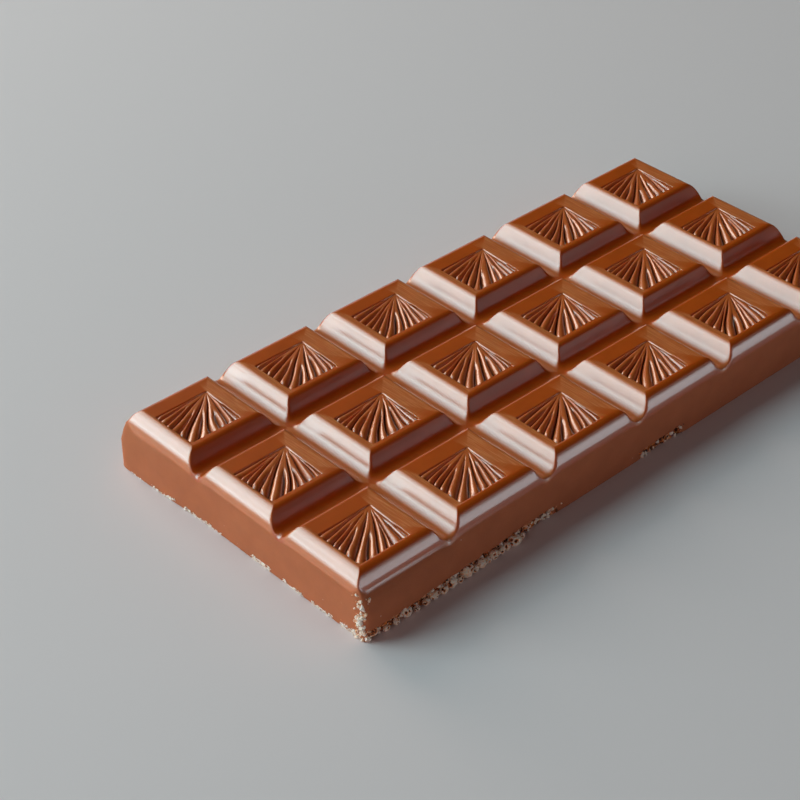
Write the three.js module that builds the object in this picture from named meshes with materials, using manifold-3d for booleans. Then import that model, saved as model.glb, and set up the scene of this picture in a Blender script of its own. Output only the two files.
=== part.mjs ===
// A bar of milk chocolate: a slab whose top is moulded into six by three squares, each with a sunk
// fan of rays. One solid, in millimetres, +Z up. The origin is the middle of the underside, and X
// runs along the bar.

import * as THREE from "three";
import { mergeVertices } from "three/addons/utils/BufferGeometryUtils.js";
import Module from "manifold-3d";

const wasm = await Module();
wasm.setup();

// ---- Driving dimensions, mm and degrees ----

const COLUMNS = 6; // squares along X
const ROWS = 3; // squares along Y
const PITCH_X = 22; // from groove to groove along the bar
const PITCH_Y = 20.2; // from groove to groove across the bar
const GROOVE_FLOOR = 8.9; // height of the groove floors above the underside
const SQUARE_RISE = 2.8; // height of the squares above the groove floors
const BASE_HALF_X = 63.1; // half the length at the underside, between the flared corners
const BASE_HALF_Y = 28.6; // half the width at the underside, between the flared corners

const FLAT_HALF_X = 61.05; // half the length of the outline of the squares' flat tops
const FLAT_HALF_Y = 26.3; // half its width
const RIM_DEPTH = 2.1; // from the flat tops down the rim's slope
const RIM_FOOT_OUT = 0.12; // from there out to the upper edge of the walls
const RIM_FOOT_DOWN = 0.35; // and down to it
const FLARE_X = 0.9; // how far the foot stands out in X, at the two corners on the +Y side
const FLARE_Y = 1.6; // how far the foot stands out in Y, at all four corners
const FLARE_FROM_LEFT = -14; // the long walls begin to flare here towards the -X end
const FLARE_FROM_RIGHT = 46; // and here towards the +X end
const FLARE_FROM_Y = 4; // the end walls begin to flare here
const FLARE_HEIGHT = 5.2; // the foot is at its widest up to here, and has faded out at the rim
const FLARE_HALFWAY = 0.6; // share of the flare that is left halfway between the two
const CORNER_RADIUS = 1.1; // of the four upright edges
const CORNER_CUT = 0.4; // how far an upright edge lies inside its square corner, in corner radii
const CORNER_STEPS = 3;
const SIDE_STEPS = [12, 6]; // points along a long wall and an end wall

const GROOVE_HALF = 3.6; // from the middle of a groove to the flat tops beside it
const FLANK_SLOPE = 56; // steepest slope of the squares' flanks
const SHOULDER_RADIUS = 1.0; // rounding between a flat top and its flank
const FILLET_RADIUS = 1.7; // hollow between a flank and the groove floor
const ARC_STEPS = 3;

const FAN_HALF_X = 5.15; // half the length of a sunk fan
const FAN_HALF_Y = 4.85; // half its width
const FAN_SHIFT_X = -1.0; // from the middle of a flat top to the middle of its fan
const FAN_SHIFT_Y = -1.2;
const FAN_LEAN = 0.095; // slope of the fan's +X border, which leans towards -X at the front
const FAN_CORNER_OUT = 0.4; // how far that border stands out at the fan's corner
const FAN_DRAFT = 1.03; // the mouth of the fan against its floor
const RAYS_A_SIDE = 6; // rays to each of the two sides that face the fan's corner
const RAY_UNEVENNESS = 0.3; // share by which the rays differ in width
const SHARED_RAY = 0.55; // width of each half of the ray that both sides share
const RAY_REACHES = [0.035, 0.32, 0.6, 1]; // where rays are shaped, from the fan's corner to its border
const REACH_JITTER = 0.06; // how far the places between vary from ray to ray
const RAY_SINK = 0.12; // crests of the rays below the flat top
const CORNER_SINK = 0.3; // the same where the rays start
const VALLEY_DEPTH = 0.55; // valleys between the rays, below their crests
const VALLEY_RANGE = [0.8, 1.15]; // the shallowest and the deepest, as shares of that depth
const VALLEY_HALF = 0.2; // half the width of a valley, as a share of a ray
const EARLY_VALLEY = [0, 0.9, 1, 1]; // how deep a valley is at each reach, where it starts at the corner
const LATE_VALLEY = [0, 0, 0.75, 1]; // the same where it starts halfway out, as a ray forks

const CRUMB_REACH_LONG = 0.7; // how far crumbs stand out from the foot of the long walls
const CRUMB_REACH_END = 0.3; // the same on the end walls
const CRUMB_SWELL = [0.75, 1.2]; // how far a crumb's corners stand out, as shares of its radius
const CRUMB_GAP = [0.75, 1.25]; // distance to the next crumb, as shares of the usual distance
const CRUMB_SIZE = [0.6, 1.1]; // radius of a crumb, as shares of the usual radius
const CRUMB_PROUD = [0.35, 1]; // how far it stands out, as shares of the wall's reach
const CRUMB_LIFT = [0.3, 0.8]; // height of its middle, as shares of its radius
const CRUMB_LIMIT = 0.45; // share of the reach that crumbs may pass the flared corners by
const CRUMBLY_RUNS = [
  { wall: "front", from: -61.5, to: -19, spacing: 1.9, size: 1.25 },
  { wall: "front", from: 1, to: 12, spacing: 2.6, size: 0.9 },
  { wall: "back", from: -61, to: -48, spacing: 2.3, size: 1.2 },
  { wall: "back", from: 20, to: 44, spacing: 2.6, size: 1.0 },
  { wall: "left", from: -25, to: 25, spacing: 4.2, size: 0.6 },
  { wall: "right", from: -22, to: 24, spacing: 4.6, size: 0.6 },
];
const RIDGE_FOOT = 2.2; // the crumbs up the ragged corner start at this height
const RIDGE_SPACING = 1.1; // height between them
const RIDGE_CLEAR = 0.4; // they end this far under the rim's slope
const RIDGE_SIZE = [0.7, 0.95]; // their radius
const RIDGE_SWAY = 0.15; // how far they stray along the edge's two walls
const RIDGE_PROUD = 0.25; // how far they stand out from the edge
const BLOB_RADIUS = 1.15; // of the round blob at the foot of the ragged corner
const BLOB_INSET = [1.1, 0.9]; // from the outline of the flared corner in to the blob's middle
const SEED = 20;

const TOP = GROOVE_FLOOR + SQUARE_RISE;
const CLEAR = 1; // overrun of a cutting tool
const WELD = 1e-4; // points closer than this are one

const chocolate = new THREE.MeshStandardMaterial({ color: 0x8a4a26, roughness: 0.38, metalness: 0 });

// ---- Helpers ----

// A repeatable run of numbers from 0 to 1.
function randomRun(seed) {
  let state = (seed * 7919 + 12345) % 2147483647;
  const next = () => {
    state = (state * 16807) % 2147483647;
    return state / 2147483647;
  };
  next();
  return next;
}

const { lerp: mix, smoothstep, degToRad: radians } = THREE.MathUtils;

const within = ([low, high], random) => mix(low, high, random());

// A closed three.js geometry as a solid that can be cut and joined.
function solidOf(geometry) {
  const bare = new THREE.BufferGeometry();
  bare.setAttribute("position", geometry.getAttribute("position"));
  if (geometry.index) bare.setIndex(geometry.index);
  const merged = mergeVertices(bare, WELD);
  const vertProperties = new Float32Array(merged.attributes.position.array);
  const triVerts = new Uint32Array(merged.index.array);
  return new wasm.Manifold(new wasm.Mesh({ numProp: 3, vertProperties, triVerts }));
}

function geometryOf(solid) {
  const mesh = solid.getMesh();
  const geometry = new THREE.BufferGeometry();
  geometry.setAttribute("position", new THREE.BufferAttribute(mesh.vertProperties, 3));
  geometry.setIndex(new THREE.BufferAttribute(mesh.triVerts, 1));
  geometry.computeVertexNormals();
  return geometry;
}

// A closed skin over rings of equally many points, listed from the bottom ring up.
function loft(rings) {
  const count = rings[0].length;
  const points = rings.flat();
  const faces = [];
  const at = (ring, i) => ring * count + (i % count);
  for (let ring = 0; ring + 1 < rings.length; ring++) {
    for (let i = 0; i < count; i++) {
      faces.push(at(ring, i), at(ring, i + 1), at(ring + 1, i + 1));
      faces.push(at(ring, i), at(ring + 1, i + 1), at(ring + 1, i));
    }
  }
  const last = rings.length - 1;
  const bottom = points.push(new THREE.Vector3(0, 0, rings[0][0].z)) - 1;
  const top = points.push(new THREE.Vector3(0, 0, rings[last][0].z)) - 1;
  for (let i = 0; i < count; i++) {
    faces.push(at(0, i + 1), at(0, i), bottom);
    faces.push(at(last, i), at(last, i + 1), top);
  }
  return new THREE.BufferGeometry().setFromPoints(points).setIndex(faces);
}

// How far the foot of the bar stands out in X beside y, and in Y beside x.
const flareX = (y) => FLARE_X * smoothstep(y, FLARE_FROM_Y, BASE_HALF_Y);
const flareY = (x) => {
  const left = smoothstep(-x, -FLARE_FROM_LEFT, BASE_HALF_X);
  return FLARE_Y * (left + smoothstep(x, FLARE_FROM_RIGHT, BASE_HALF_X));
};

// A level rounded rectangle, counter-clockwise, with the given half sizes, flared by a share.
function barRing(halfX, halfY, z, flared) {
  const ring = [];
  const signs = [[1, 1], [-1, 1], [-1, -1], [1, -1]];
  signs.forEach(([signX, signY], quarter) => {
    const middle = new THREE.Vector3(signX * (halfX - CORNER_RADIUS), signY * (halfY - CORNER_RADIUS), z);
    for (let step = 0; step <= CORNER_STEPS; step++) {
      const angle = (quarter + step / CORNER_STEPS) * (Math.PI / 2);
      const spoke = new THREE.Vector3(Math.cos(angle), Math.sin(angle), 0);
      ring.push(middle.clone().addScaledVector(spoke, CORNER_RADIUS));
    }
    const start = ring[ring.length - 1];
    const along = new THREE.Vector3();
    if (quarter % 2 === 0) along.x = -2 * middle.x;
    else along.y = -2 * middle.y;
    const steps = SIDE_STEPS[quarter % 2];
    for (let step = 1; step < steps; step++) {
      ring.push(start.clone().addScaledVector(along, step / steps));
    }
  });
  for (const point of ring) {
    const outX = Math.sign(point.x) * flareX(point.y) * flared;
    const outY = Math.sign(point.y) * flareY(point.x) * flared;
    point.x += outX;
    point.y += outY;
  }
  return ring;
}

// ---- Profiles ----

// The flank of a square as [distance from the flat top, depth under it]: a round shoulder, then a
// straight slope down to the given depth.
function shoulderAndSlope(depth) {
  const slope = radians(FLANK_SLOPE);
  const points = [];
  for (let step = 0; step <= ARC_STEPS; step++) {
    const angle = (slope * step) / ARC_STEPS;
    points.push([SHOULDER_RADIUS * Math.sin(angle), SHOULDER_RADIUS * (1 - Math.cos(angle))]);
  }
  const [across, down] = points[ARC_STEPS];
  points.push([across + (depth - down) / Math.tan(slope), depth]);
  return points;
}

// One side of a groove from the flat top down to the floor, as [distance from its middle, height].
function grooveSide() {
  const slope = radians(FLANK_SLOPE);
  const filletDepth = FILLET_RADIUS * (1 - Math.cos(slope));
  const side = shoulderAndSlope(SQUARE_RISE - filletDepth).map(([across, down]) => {
    return [GROOVE_HALF - across, TOP - down];
  });
  const filletFoot = side[side.length - 1][0] - FILLET_RADIUS * Math.sin(slope);
  for (let step = ARC_STEPS - 1; step >= 0; step--) {
    const angle = (slope * step) / ARC_STEPS;
    const height = GROOVE_FLOOR + FILLET_RADIUS * (1 - Math.cos(angle));
    side.push([filletFoot + FILLET_RADIUS * Math.sin(angle), height]);
  }
  return side;
}

// ---- Parts of the bar ----

// The slab: walls that flare at the foot, and a rim shaped like the flanks of the squares.
function slab() {
  const rim = shoulderAndSlope(RIM_DEPTH).reverse();
  const [rimWidth] = rim[0];
  const wallTop = TOP - RIM_DEPTH - RIM_FOOT_DOWN;
  const wallHalfX = FLAT_HALF_X + rimWidth + RIM_FOOT_OUT;
  const wallHalfY = FLAT_HALF_Y + rimWidth + RIM_FOOT_OUT;
  const halfway = mix(FLARE_HEIGHT, wallTop, 0.5);
  const wall = [[0, 1], [FLARE_HEIGHT, 1], [halfway, FLARE_HALFWAY], [wallTop, 0]];
  const rings = [];
  for (const [z, flared] of wall) {
    const rise = z / wallTop;
    rings.push(barRing(mix(BASE_HALF_X, wallHalfX, rise), mix(BASE_HALF_Y, wallHalfY, rise), z, flared));
  }
  for (const [across, down] of rim) {
    rings.push(barRing(FLAT_HALF_X + across, FLAT_HALF_Y + across, TOP - down, 0));
  }
  return solidOf(loft(rings));
}

// A cutter for one groove along X, centred on the origin.
function grooveCutter(length) {
  const right = [[GROOVE_HALF, TOP + CLEAR], ...grooveSide()];
  const left = right.map(([x, z]) => [-x, z]);
  const outline = [...left, ...right.reverse()].map(([x, z]) => new THREE.Vector2(x, z));
  const shape = new THREE.Shape(outline);
  const geometry = new THREE.ExtrudeGeometry(shape, { depth: length, bevelEnabled: false, steps: 1 });
  geometry.translate(0, 0, -length / 2);
  geometry.rotateX(Math.PI / 2);
  geometry.rotateZ(Math.PI / 2);
  return geometry;
}

// The angles of a fan's lines, from its long wall to its short one, and how deep each lies. Each
// valley has a line down its middle and one along each brim, and the fan's far corner has its own.
function fanLines(random) {
  const cornerAngle = Math.atan2(FAN_HALF_Y, FAN_HALF_X);
  const lines = [{ angle: 0, deep: 0, early: false }];
  const spans = [[0, cornerAngle], [cornerAngle, Math.PI / 2]];
  spans.forEach(([from, to], side) => {
    const widths = [];
    for (let ray = 0; ray < RAYS_A_SIDE; ray++) {
      widths.push(1 + RAY_UNEVENNESS * (2 * random() - 1));
    }
    // The ray that runs into the corner is shared by both sides, half to each.
    widths[side === 0 ? RAYS_A_SIDE - 1 : 0] *= SHARED_RAY;
    const unit = (to - from) / widths.reduce((sum, width) => sum + width, 0);
    let angle = from;
    for (let ray = 0; ray + 1 < RAYS_A_SIDE; ray++) {
      angle += widths[ray] * unit;
      const half = VALLEY_HALF * unit;
      const early = (ray + side) % 2 === 0;
      lines.push({ angle: angle - half, deep: 0, early });
      lines.push({ angle, deep: within(VALLEY_RANGE, random), early });
      lines.push({ angle: angle + half, deep: 0, early });
    }
    lines.push({ angle: to, deep: 0, early: false });
  });
  return lines;
}

// The tool that sinks one fan: a box bent round the fan's corner, its underside carrying the rays.
// Early valleys start at the corner, and the others halfway out, where the rays fork.
function fanTool(random) {
  const lines = fanLines(random);
  const lastReach = RAY_REACHES.length - 1;
  const geometry = new THREE.BoxGeometry(1, 1, 1, lastReach, lines.length - 1, 1);
  const jitter = lines.map(() => REACH_JITTER * (2 * random() - 1));
  const place = geometry.attributes.position;
  for (let k = 0; k < place.count; k++) {
    const ring = Math.round((place.getX(k) + 0.5) * lastReach);
    const index = Math.round((place.getY(k) + 0.5) * (lines.length - 1));
    const line = lines[index];
    const inside = ring > 0 && ring < lastReach;
    const reach = RAY_REACHES[ring] + (inside ? jitter[index] : 0);
    const toSide = Math.min(2 * FAN_HALF_X / Math.cos(line.angle), 2 * FAN_HALF_Y / Math.sin(line.angle));
    const toFront = reach * toSide * Math.sin(line.angle);
    const toLeft = reach * toSide * Math.cos(line.angle);
    const out = (FAN_CORNER_OUT - FAN_LEAN * toFront) * (1 - toLeft / (2 * FAN_HALF_X));
    const x = FAN_HALF_X - toLeft + out;
    const y = FAN_HALF_Y - toFront;
    if (place.getZ(k) > 0) {
      place.setXYZ(k, x * FAN_DRAFT, y * FAN_DRAFT, TOP + CLEAR);
    } else {
      const grown = (line.early ? EARLY_VALLEY : LATE_VALLEY)[ring];
      const crest = mix(CORNER_SINK, RAY_SINK, Math.min(1, reach / RAY_REACHES[2]));
      place.setXYZ(k, x, y, TOP - crest - VALLEY_DEPTH * line.deep * grown);
    }
  }
  return geometry;
}

// An uneven crumb of about the given radius, with its outermost point at the origin along +Y.
function crumb(radius, random) {
  const { position } = new THREE.IcosahedronGeometry(radius, 0).attributes;
  const merged = mergeVertices(new THREE.BufferGeometry().setAttribute("position", position));
  const place = merged.attributes.position;
  for (let k = 0; k < place.count; k++) {
    const swell = within(CRUMB_SWELL, random);
    place.setXYZ(k, place.getX(k) * swell, place.getY(k) * swell, place.getZ(k) * swell);
  }
  merged.rotateZ(random() * Math.PI);
  merged.rotateX(random() * Math.PI);
  merged.computeBoundingBox();
  merged.translate(0, -merged.boundingBox.max.y, 0);
  return merged;
}

// Crumbs along the foot of a wall. The wall is an object with the place of its foot, how far crumbs
// stand out from it, and the turn from +Y to the way it faces.
function raggedFoot(wall, { from, to, spacing, size }, random) {
  const crumbs = [];
  for (let along = from; along <= to; along += spacing * within(CRUMB_GAP, random)) {
    const radius = size * within(CRUMB_SIZE, random);
    const proud = wall.reach * within(CRUMB_PROUD, random);
    const foot = Math.min(wall.foot(along) + proud, wall.limit);
    const geometry = crumb(radius, random);
    geometry.translate(wall.sign * along, foot, radius * within(CRUMB_LIFT, random));
    geometry.rotateZ(wall.turn);
    crumbs.push(solidOf(geometry));
  }
  return crumbs;
}

// The crumbly ridge up the upright edge at (-X, -Y), ending in a round blob at its foot.
function raggedCorner(random) {
  const crumbs = [];
  const inset = CORNER_RADIUS * CORNER_CUT;
  const ridgeTop = TOP - RIM_DEPTH - RIDGE_CLEAR;
  for (let z = RIDGE_FOOT; z < ridgeTop; z += RIDGE_SPACING) {
    const geometry = crumb(within(RIDGE_SIZE, random), random);
    const lean = FLARE_Y * smoothstep(z, FLARE_HEIGHT, ridgeTop);
    const sway = within([-RIDGE_SWAY, RIDGE_SWAY], random);
    geometry.translate(0, RIDGE_PROUD, z);
    geometry.rotateZ(radians(135));
    geometry.translate(-BASE_HALF_X + inset + sway, -BASE_HALF_Y - FLARE_Y + inset + lean - sway, 0);
    crumbs.push(solidOf(geometry));
  }
  const blob = new THREE.IcosahedronGeometry(BLOB_RADIUS, 1);
  const [insetX, insetY] = BLOB_INSET;
  blob.translate(-BASE_HALF_X + insetX, -BASE_HALF_Y - FLARE_Y + insetY, BLOB_RADIUS);
  crumbs.push(solidOf(blob));
  return crumbs;
}

// ---- The bar ----

function chocolateBar() {
  let bar = slab();

  const alongX = grooveCutter(2 * (BASE_HALF_X + FLARE_X + CLEAR));
  for (let row = 1; row < ROWS; row++) {
    const y = (row - ROWS / 2) * PITCH_Y;
    bar = bar.subtract(solidOf(alongX.clone().translate(0, y, 0)));
  }
  const alongY = grooveCutter(2 * (BASE_HALF_Y + FLARE_Y + CLEAR)).rotateZ(Math.PI / 2);
  for (let column = 1; column < COLUMNS; column++) {
    const x = (column - COLUMNS / 2) * PITCH_X;
    bar = bar.subtract(solidOf(alongY.clone().translate(x, 0, 0)));
  }

  for (let column = 0; column < COLUMNS; column++) {
    for (let row = 0; row < ROWS; row++) {
      const middleX = (column - (COLUMNS - 1) / 2) * PITCH_X;
      const low = Math.max(middleX - PITCH_X / 2 + GROOVE_HALF, -FLAT_HALF_X);
      const high = Math.min(middleX + PITCH_X / 2 - GROOVE_HALF, FLAT_HALF_X);
      const x = (low + high) / 2 + FAN_SHIFT_X;
      const y = (row - (ROWS - 1) / 2) * PITCH_Y + FAN_SHIFT_Y;
      const tool = fanTool(randomRun(SEED + column * ROWS + row));
      bar = bar.subtract(solidOf(tool.translate(x, y, 0)));
    }
  }

  const random = randomRun(SEED);
  const longFoot = (x) => BASE_HALF_Y + flareY(x);
  const endFoot = (y) => BASE_HALF_X + flareX(y);
  const limitY = BASE_HALF_Y + FLARE_Y + CRUMB_LIMIT * CRUMB_REACH_LONG;
  const limitX = BASE_HALF_X + FLARE_X;
  const walls = {
    front: { foot: longFoot, reach: CRUMB_REACH_LONG, limit: limitY, turn: Math.PI, sign: -1 },
    back: { foot: longFoot, reach: CRUMB_REACH_LONG, limit: limitY, turn: 0, sign: 1 },
    left: { foot: endFoot, reach: CRUMB_REACH_END, limit: limitX, turn: Math.PI / 2, sign: 1 },
    right: { foot: endFoot, reach: CRUMB_REACH_END, limit: limitX, turn: -Math.PI / 2, sign: -1 },
  };
  const crumbs = CRUMBLY_RUNS.flatMap((run) => raggedFoot(walls[run.wall], run, random));
  for (const piece of [...crumbs, ...raggedCorner(random)]) bar = bar.add(piece);

  const ground = new THREE.BoxGeometry(2 * PITCH_X * COLUMNS, 2 * PITCH_Y * ROWS, TOP);
  ground.translate(0, 0, -TOP / 2);
  return bar.subtract(solidOf(ground));
}

const body = new THREE.Mesh(geometryOf(chocolateBar()), chocolate);
body.name = "chocolate_bar";

const part = new THREE.Group();
part.add(body);

export default part;
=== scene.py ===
"""A bar of milk chocolate: a slab moulded into six by three squares, each with a sunk fan of rays.

The frame is in metres with +Z up. Its origin is the middle of the underside, and X runs along the
bar. Sizes in this file are in millimetres, and MM turns them into metres where a mesh is made.
"""

import logging
import math
from collections.abc import Callable, Sequence
from dataclasses import dataclass
from enum import Enum

import bmesh
import bpy
import numpy as np
from mathutils import Matrix, Vector


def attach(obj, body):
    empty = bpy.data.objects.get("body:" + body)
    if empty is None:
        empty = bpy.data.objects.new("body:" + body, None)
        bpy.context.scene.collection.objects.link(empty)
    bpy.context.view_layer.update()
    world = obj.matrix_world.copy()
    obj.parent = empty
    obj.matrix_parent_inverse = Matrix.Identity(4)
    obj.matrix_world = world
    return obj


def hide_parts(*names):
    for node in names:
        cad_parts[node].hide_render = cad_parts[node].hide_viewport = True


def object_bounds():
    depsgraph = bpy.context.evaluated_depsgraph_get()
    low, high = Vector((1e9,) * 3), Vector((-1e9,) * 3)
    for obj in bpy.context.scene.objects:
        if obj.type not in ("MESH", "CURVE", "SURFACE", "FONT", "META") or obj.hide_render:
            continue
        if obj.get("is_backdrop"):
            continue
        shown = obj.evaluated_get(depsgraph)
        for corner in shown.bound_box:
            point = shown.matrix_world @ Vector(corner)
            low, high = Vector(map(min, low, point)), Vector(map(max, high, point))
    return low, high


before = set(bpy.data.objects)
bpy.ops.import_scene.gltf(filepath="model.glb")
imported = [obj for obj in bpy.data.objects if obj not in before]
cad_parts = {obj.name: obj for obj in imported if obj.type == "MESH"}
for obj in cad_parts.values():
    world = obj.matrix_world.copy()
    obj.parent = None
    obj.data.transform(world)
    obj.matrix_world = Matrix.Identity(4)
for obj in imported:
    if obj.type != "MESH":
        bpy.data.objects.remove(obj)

MM = 0.001
TINY = 1e-9
NODE = "chocolate_bar"
BODY = "root"
log = logging.getLogger("chocolate_bar")

Colour = tuple[float, float, float, float]


# ---- Numbers ----


class RandomRun:
    """A repeatable run of numbers from 0 to 1, the same run that shapes the solid's fans."""

    MODULUS = 2147483647

    def __init__(self, seed: int) -> None:
        """Starts the run at a seed."""
        self.state = (seed * 7919 + 12345) % self.MODULUS
        self.draw()

    def draw(self) -> float:
        """Returns the next number, from 0 to 1."""
        self.state = (self.state * 16807) % self.MODULUS
        return self.state / self.MODULUS

    def between(self, low: float, high: float) -> float:
        """Returns the next number, from low to high."""
        return low + (high - low) * self.draw()


def smoothstep(value: np.ndarray | float, start: float, end: float) -> np.ndarray | float:
    """Rises smoothly from 0 at start to 1 at end.

    Args:
        value: Where the step is read.
        start: Value at which it leaves 0.
        end: Value at which it reaches 1.

    Returns:
        The height of the step, from 0 to 1.
    """
    share = np.clip((np.asarray(value, float) - start) / (end - start), 0.0, 1.0)
    return share * share * (3.0 - 2.0 * share)


# ---- Sizes of the bar ----


class Side(Enum):
    """The four sides of a square, in the order in which its outlines run round it."""

    BACK = 0
    LEFT = 1
    FRONT = 2
    RIGHT = 3


@dataclass(frozen=True)
class Rectangle:
    """An upright rectangle in plan, in millimetres."""

    left: float
    front: float
    right: float
    back: float

    def grown(self, left: float, front: float, right: float, back: float) -> "Rectangle":
        """Returns the rectangle with each side moved outwards."""
        return Rectangle(self.left - left, self.front - front, self.right + right, self.back + back)

    @property
    def middle(self) -> tuple[float, float]:
        """The middle of the rectangle."""
        return (self.left + self.right) / 2, (self.front + self.back) / 2


@dataclass(frozen=True)
class SquareGrid:
    """The grid of squares, their grooves and the outline of their flat tops."""

    columns: int = 6
    rows: int = 3
    pitch_x: float = 22.0
    pitch_y: float = 20.2
    groove_half: float = 3.6
    groove_depth: float = 2.9
    flat_half_x: float = 60.8
    flat_half_y: float = 26.3
    rim_x: float = 2.32
    rim_y: float = 2.25

    @property
    def half_x(self) -> float:
        """Half the length of the bar at the foot of its rim."""
        return self.flat_half_x + self.rim_x

    @property
    def half_y(self) -> float:
        """Half the width of the bar at the foot of its rim."""
        return self.flat_half_y + self.rim_y

    def groove_line(self, axis: int, number: int) -> float:
        """Returns the place of a groove, or of the bar's side where number is the first or last."""
        count, pitch = ((self.columns, self.pitch_x), (self.rows, self.pitch_y))[axis]
        return (number - count / 2) * pitch

    def flat(self, column: int, row: int) -> Rectangle:
        """Returns the outline of a square's flat top."""
        half = self.groove_half
        return Rectangle(
            max(self.groove_line(0, column) + half, -self.flat_half_x),
            max(self.groove_line(1, row) + half, -self.flat_half_y),
            min(self.groove_line(0, column + 1) - half, self.flat_half_x),
            min(self.groove_line(1, row + 1) - half, self.flat_half_y),
        )

    def outer_sides(self, column: int, row: int) -> set[Side]:
        """Returns the sides of a square that are sides of the bar."""
        at_edge = {
            Side.BACK: row == self.rows - 1,
            Side.LEFT: column == 0,
            Side.FRONT: row == 0,
            Side.RIGHT: column == self.columns - 1,
        }
        return {side for side, outer in at_edge.items() if outer}

    def perimeter(self) -> list[tuple[int, int, Side]]:
        """Lists the sides of squares that make up the bar's outline, counter-clockwise."""
        columns, rows = range(self.columns), range(self.rows)
        return (
            [(column, self.rows - 1, Side.BACK) for column in reversed(columns)]
            + [(0, row, Side.LEFT) for row in reversed(rows)]
            + [(column, 0, Side.FRONT) for column in columns]
            + [(self.columns - 1, row, Side.RIGHT) for row in rows]
        )


class Section:
    """A section drawn outwards from the edge of a flat top, as distance and depth under it."""

    STEP = 7.0

    def __init__(self) -> None:
        """Starts at the edge of the flat top."""
        self.points = [(0.0, 0.0)]

    def arc(self, radius: float, start: float, end: float) -> "Section":
        """Adds an arc.

        Args:
            radius: Its radius, in millimetres.
            start: The slope at which it starts, in degrees.
            end: The slope at which it ends. It is hollow where that is less than start.

        Returns:
            The section itself.
        """
        across, down = self.points[-1]
        sign = 1 if end > start else -1
        steps = max(2, round(abs(end - start) / self.STEP))
        first = math.radians(start)
        for step in range(1, steps + 1):
            angle = math.radians(start + (end - start) * step / steps)
            self.points.append((
                across + sign * radius * (math.sin(angle) - math.sin(first)),
                down + sign * radius * (math.cos(first) - math.cos(angle)),
            ))
        return self

    def to(self, across: float, down: float) -> "Section":
        """Adds a straight line and returns the section."""
        self.points.append((across, down))
        return self


def groove_section(grid: SquareGrid, hollow: float, first: float, steepest: float) -> Section:
    """Draws half a groove: a round shoulder, a slope that may steepen, and a hollow at its foot.

    Args:
        grid: The grid that says how wide and deep the grooves are.
        hollow: Radius of the hollow.
        first: The slope at which the shoulder ends, in degrees.
        steepest: The slope at which the hollow starts.

    Returns:
        The section, which ends in the middle of the groove.
    """
    upper, lower = math.radians(first), math.radians(steepest)
    wide = grid.groove_half - hollow * math.sin(lower)
    deep = grid.groove_depth - hollow * (1 - math.cos(lower))
    fall = math.tan((upper + lower) / 2)
    shoulder = (wide * fall - deep) / (fall * math.sin(upper) - 1 + math.cos(upper))
    section = Section().arc(shoulder, 0.0, first)
    if steepest > first:
        radius = (wide - section.points[-1][0]) / (math.sin(lower) - math.sin(upper))
        section.arc(radius, first, steepest)
    else:
        section.to(wide, deep)
    return section.arc(hollow, steepest, 0.0).to(grid.groove_half, grid.groove_depth)


# ---- Meshes ----


def linked(name: str, data: bpy.types.ID) -> bpy.types.Object:
    """Makes an object of a mesh, light or camera, links it to the scene and returns it."""
    made = bpy.data.objects.new(name, data)
    bpy.context.collection.objects.link(made)
    return made


def raised(spots: np.ndarray, height: float) -> np.ndarray:
    """Returns points in plan with a height added to each, in millimetres."""
    return np.hstack([spots, np.full((len(spots), 1), height)])


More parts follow.
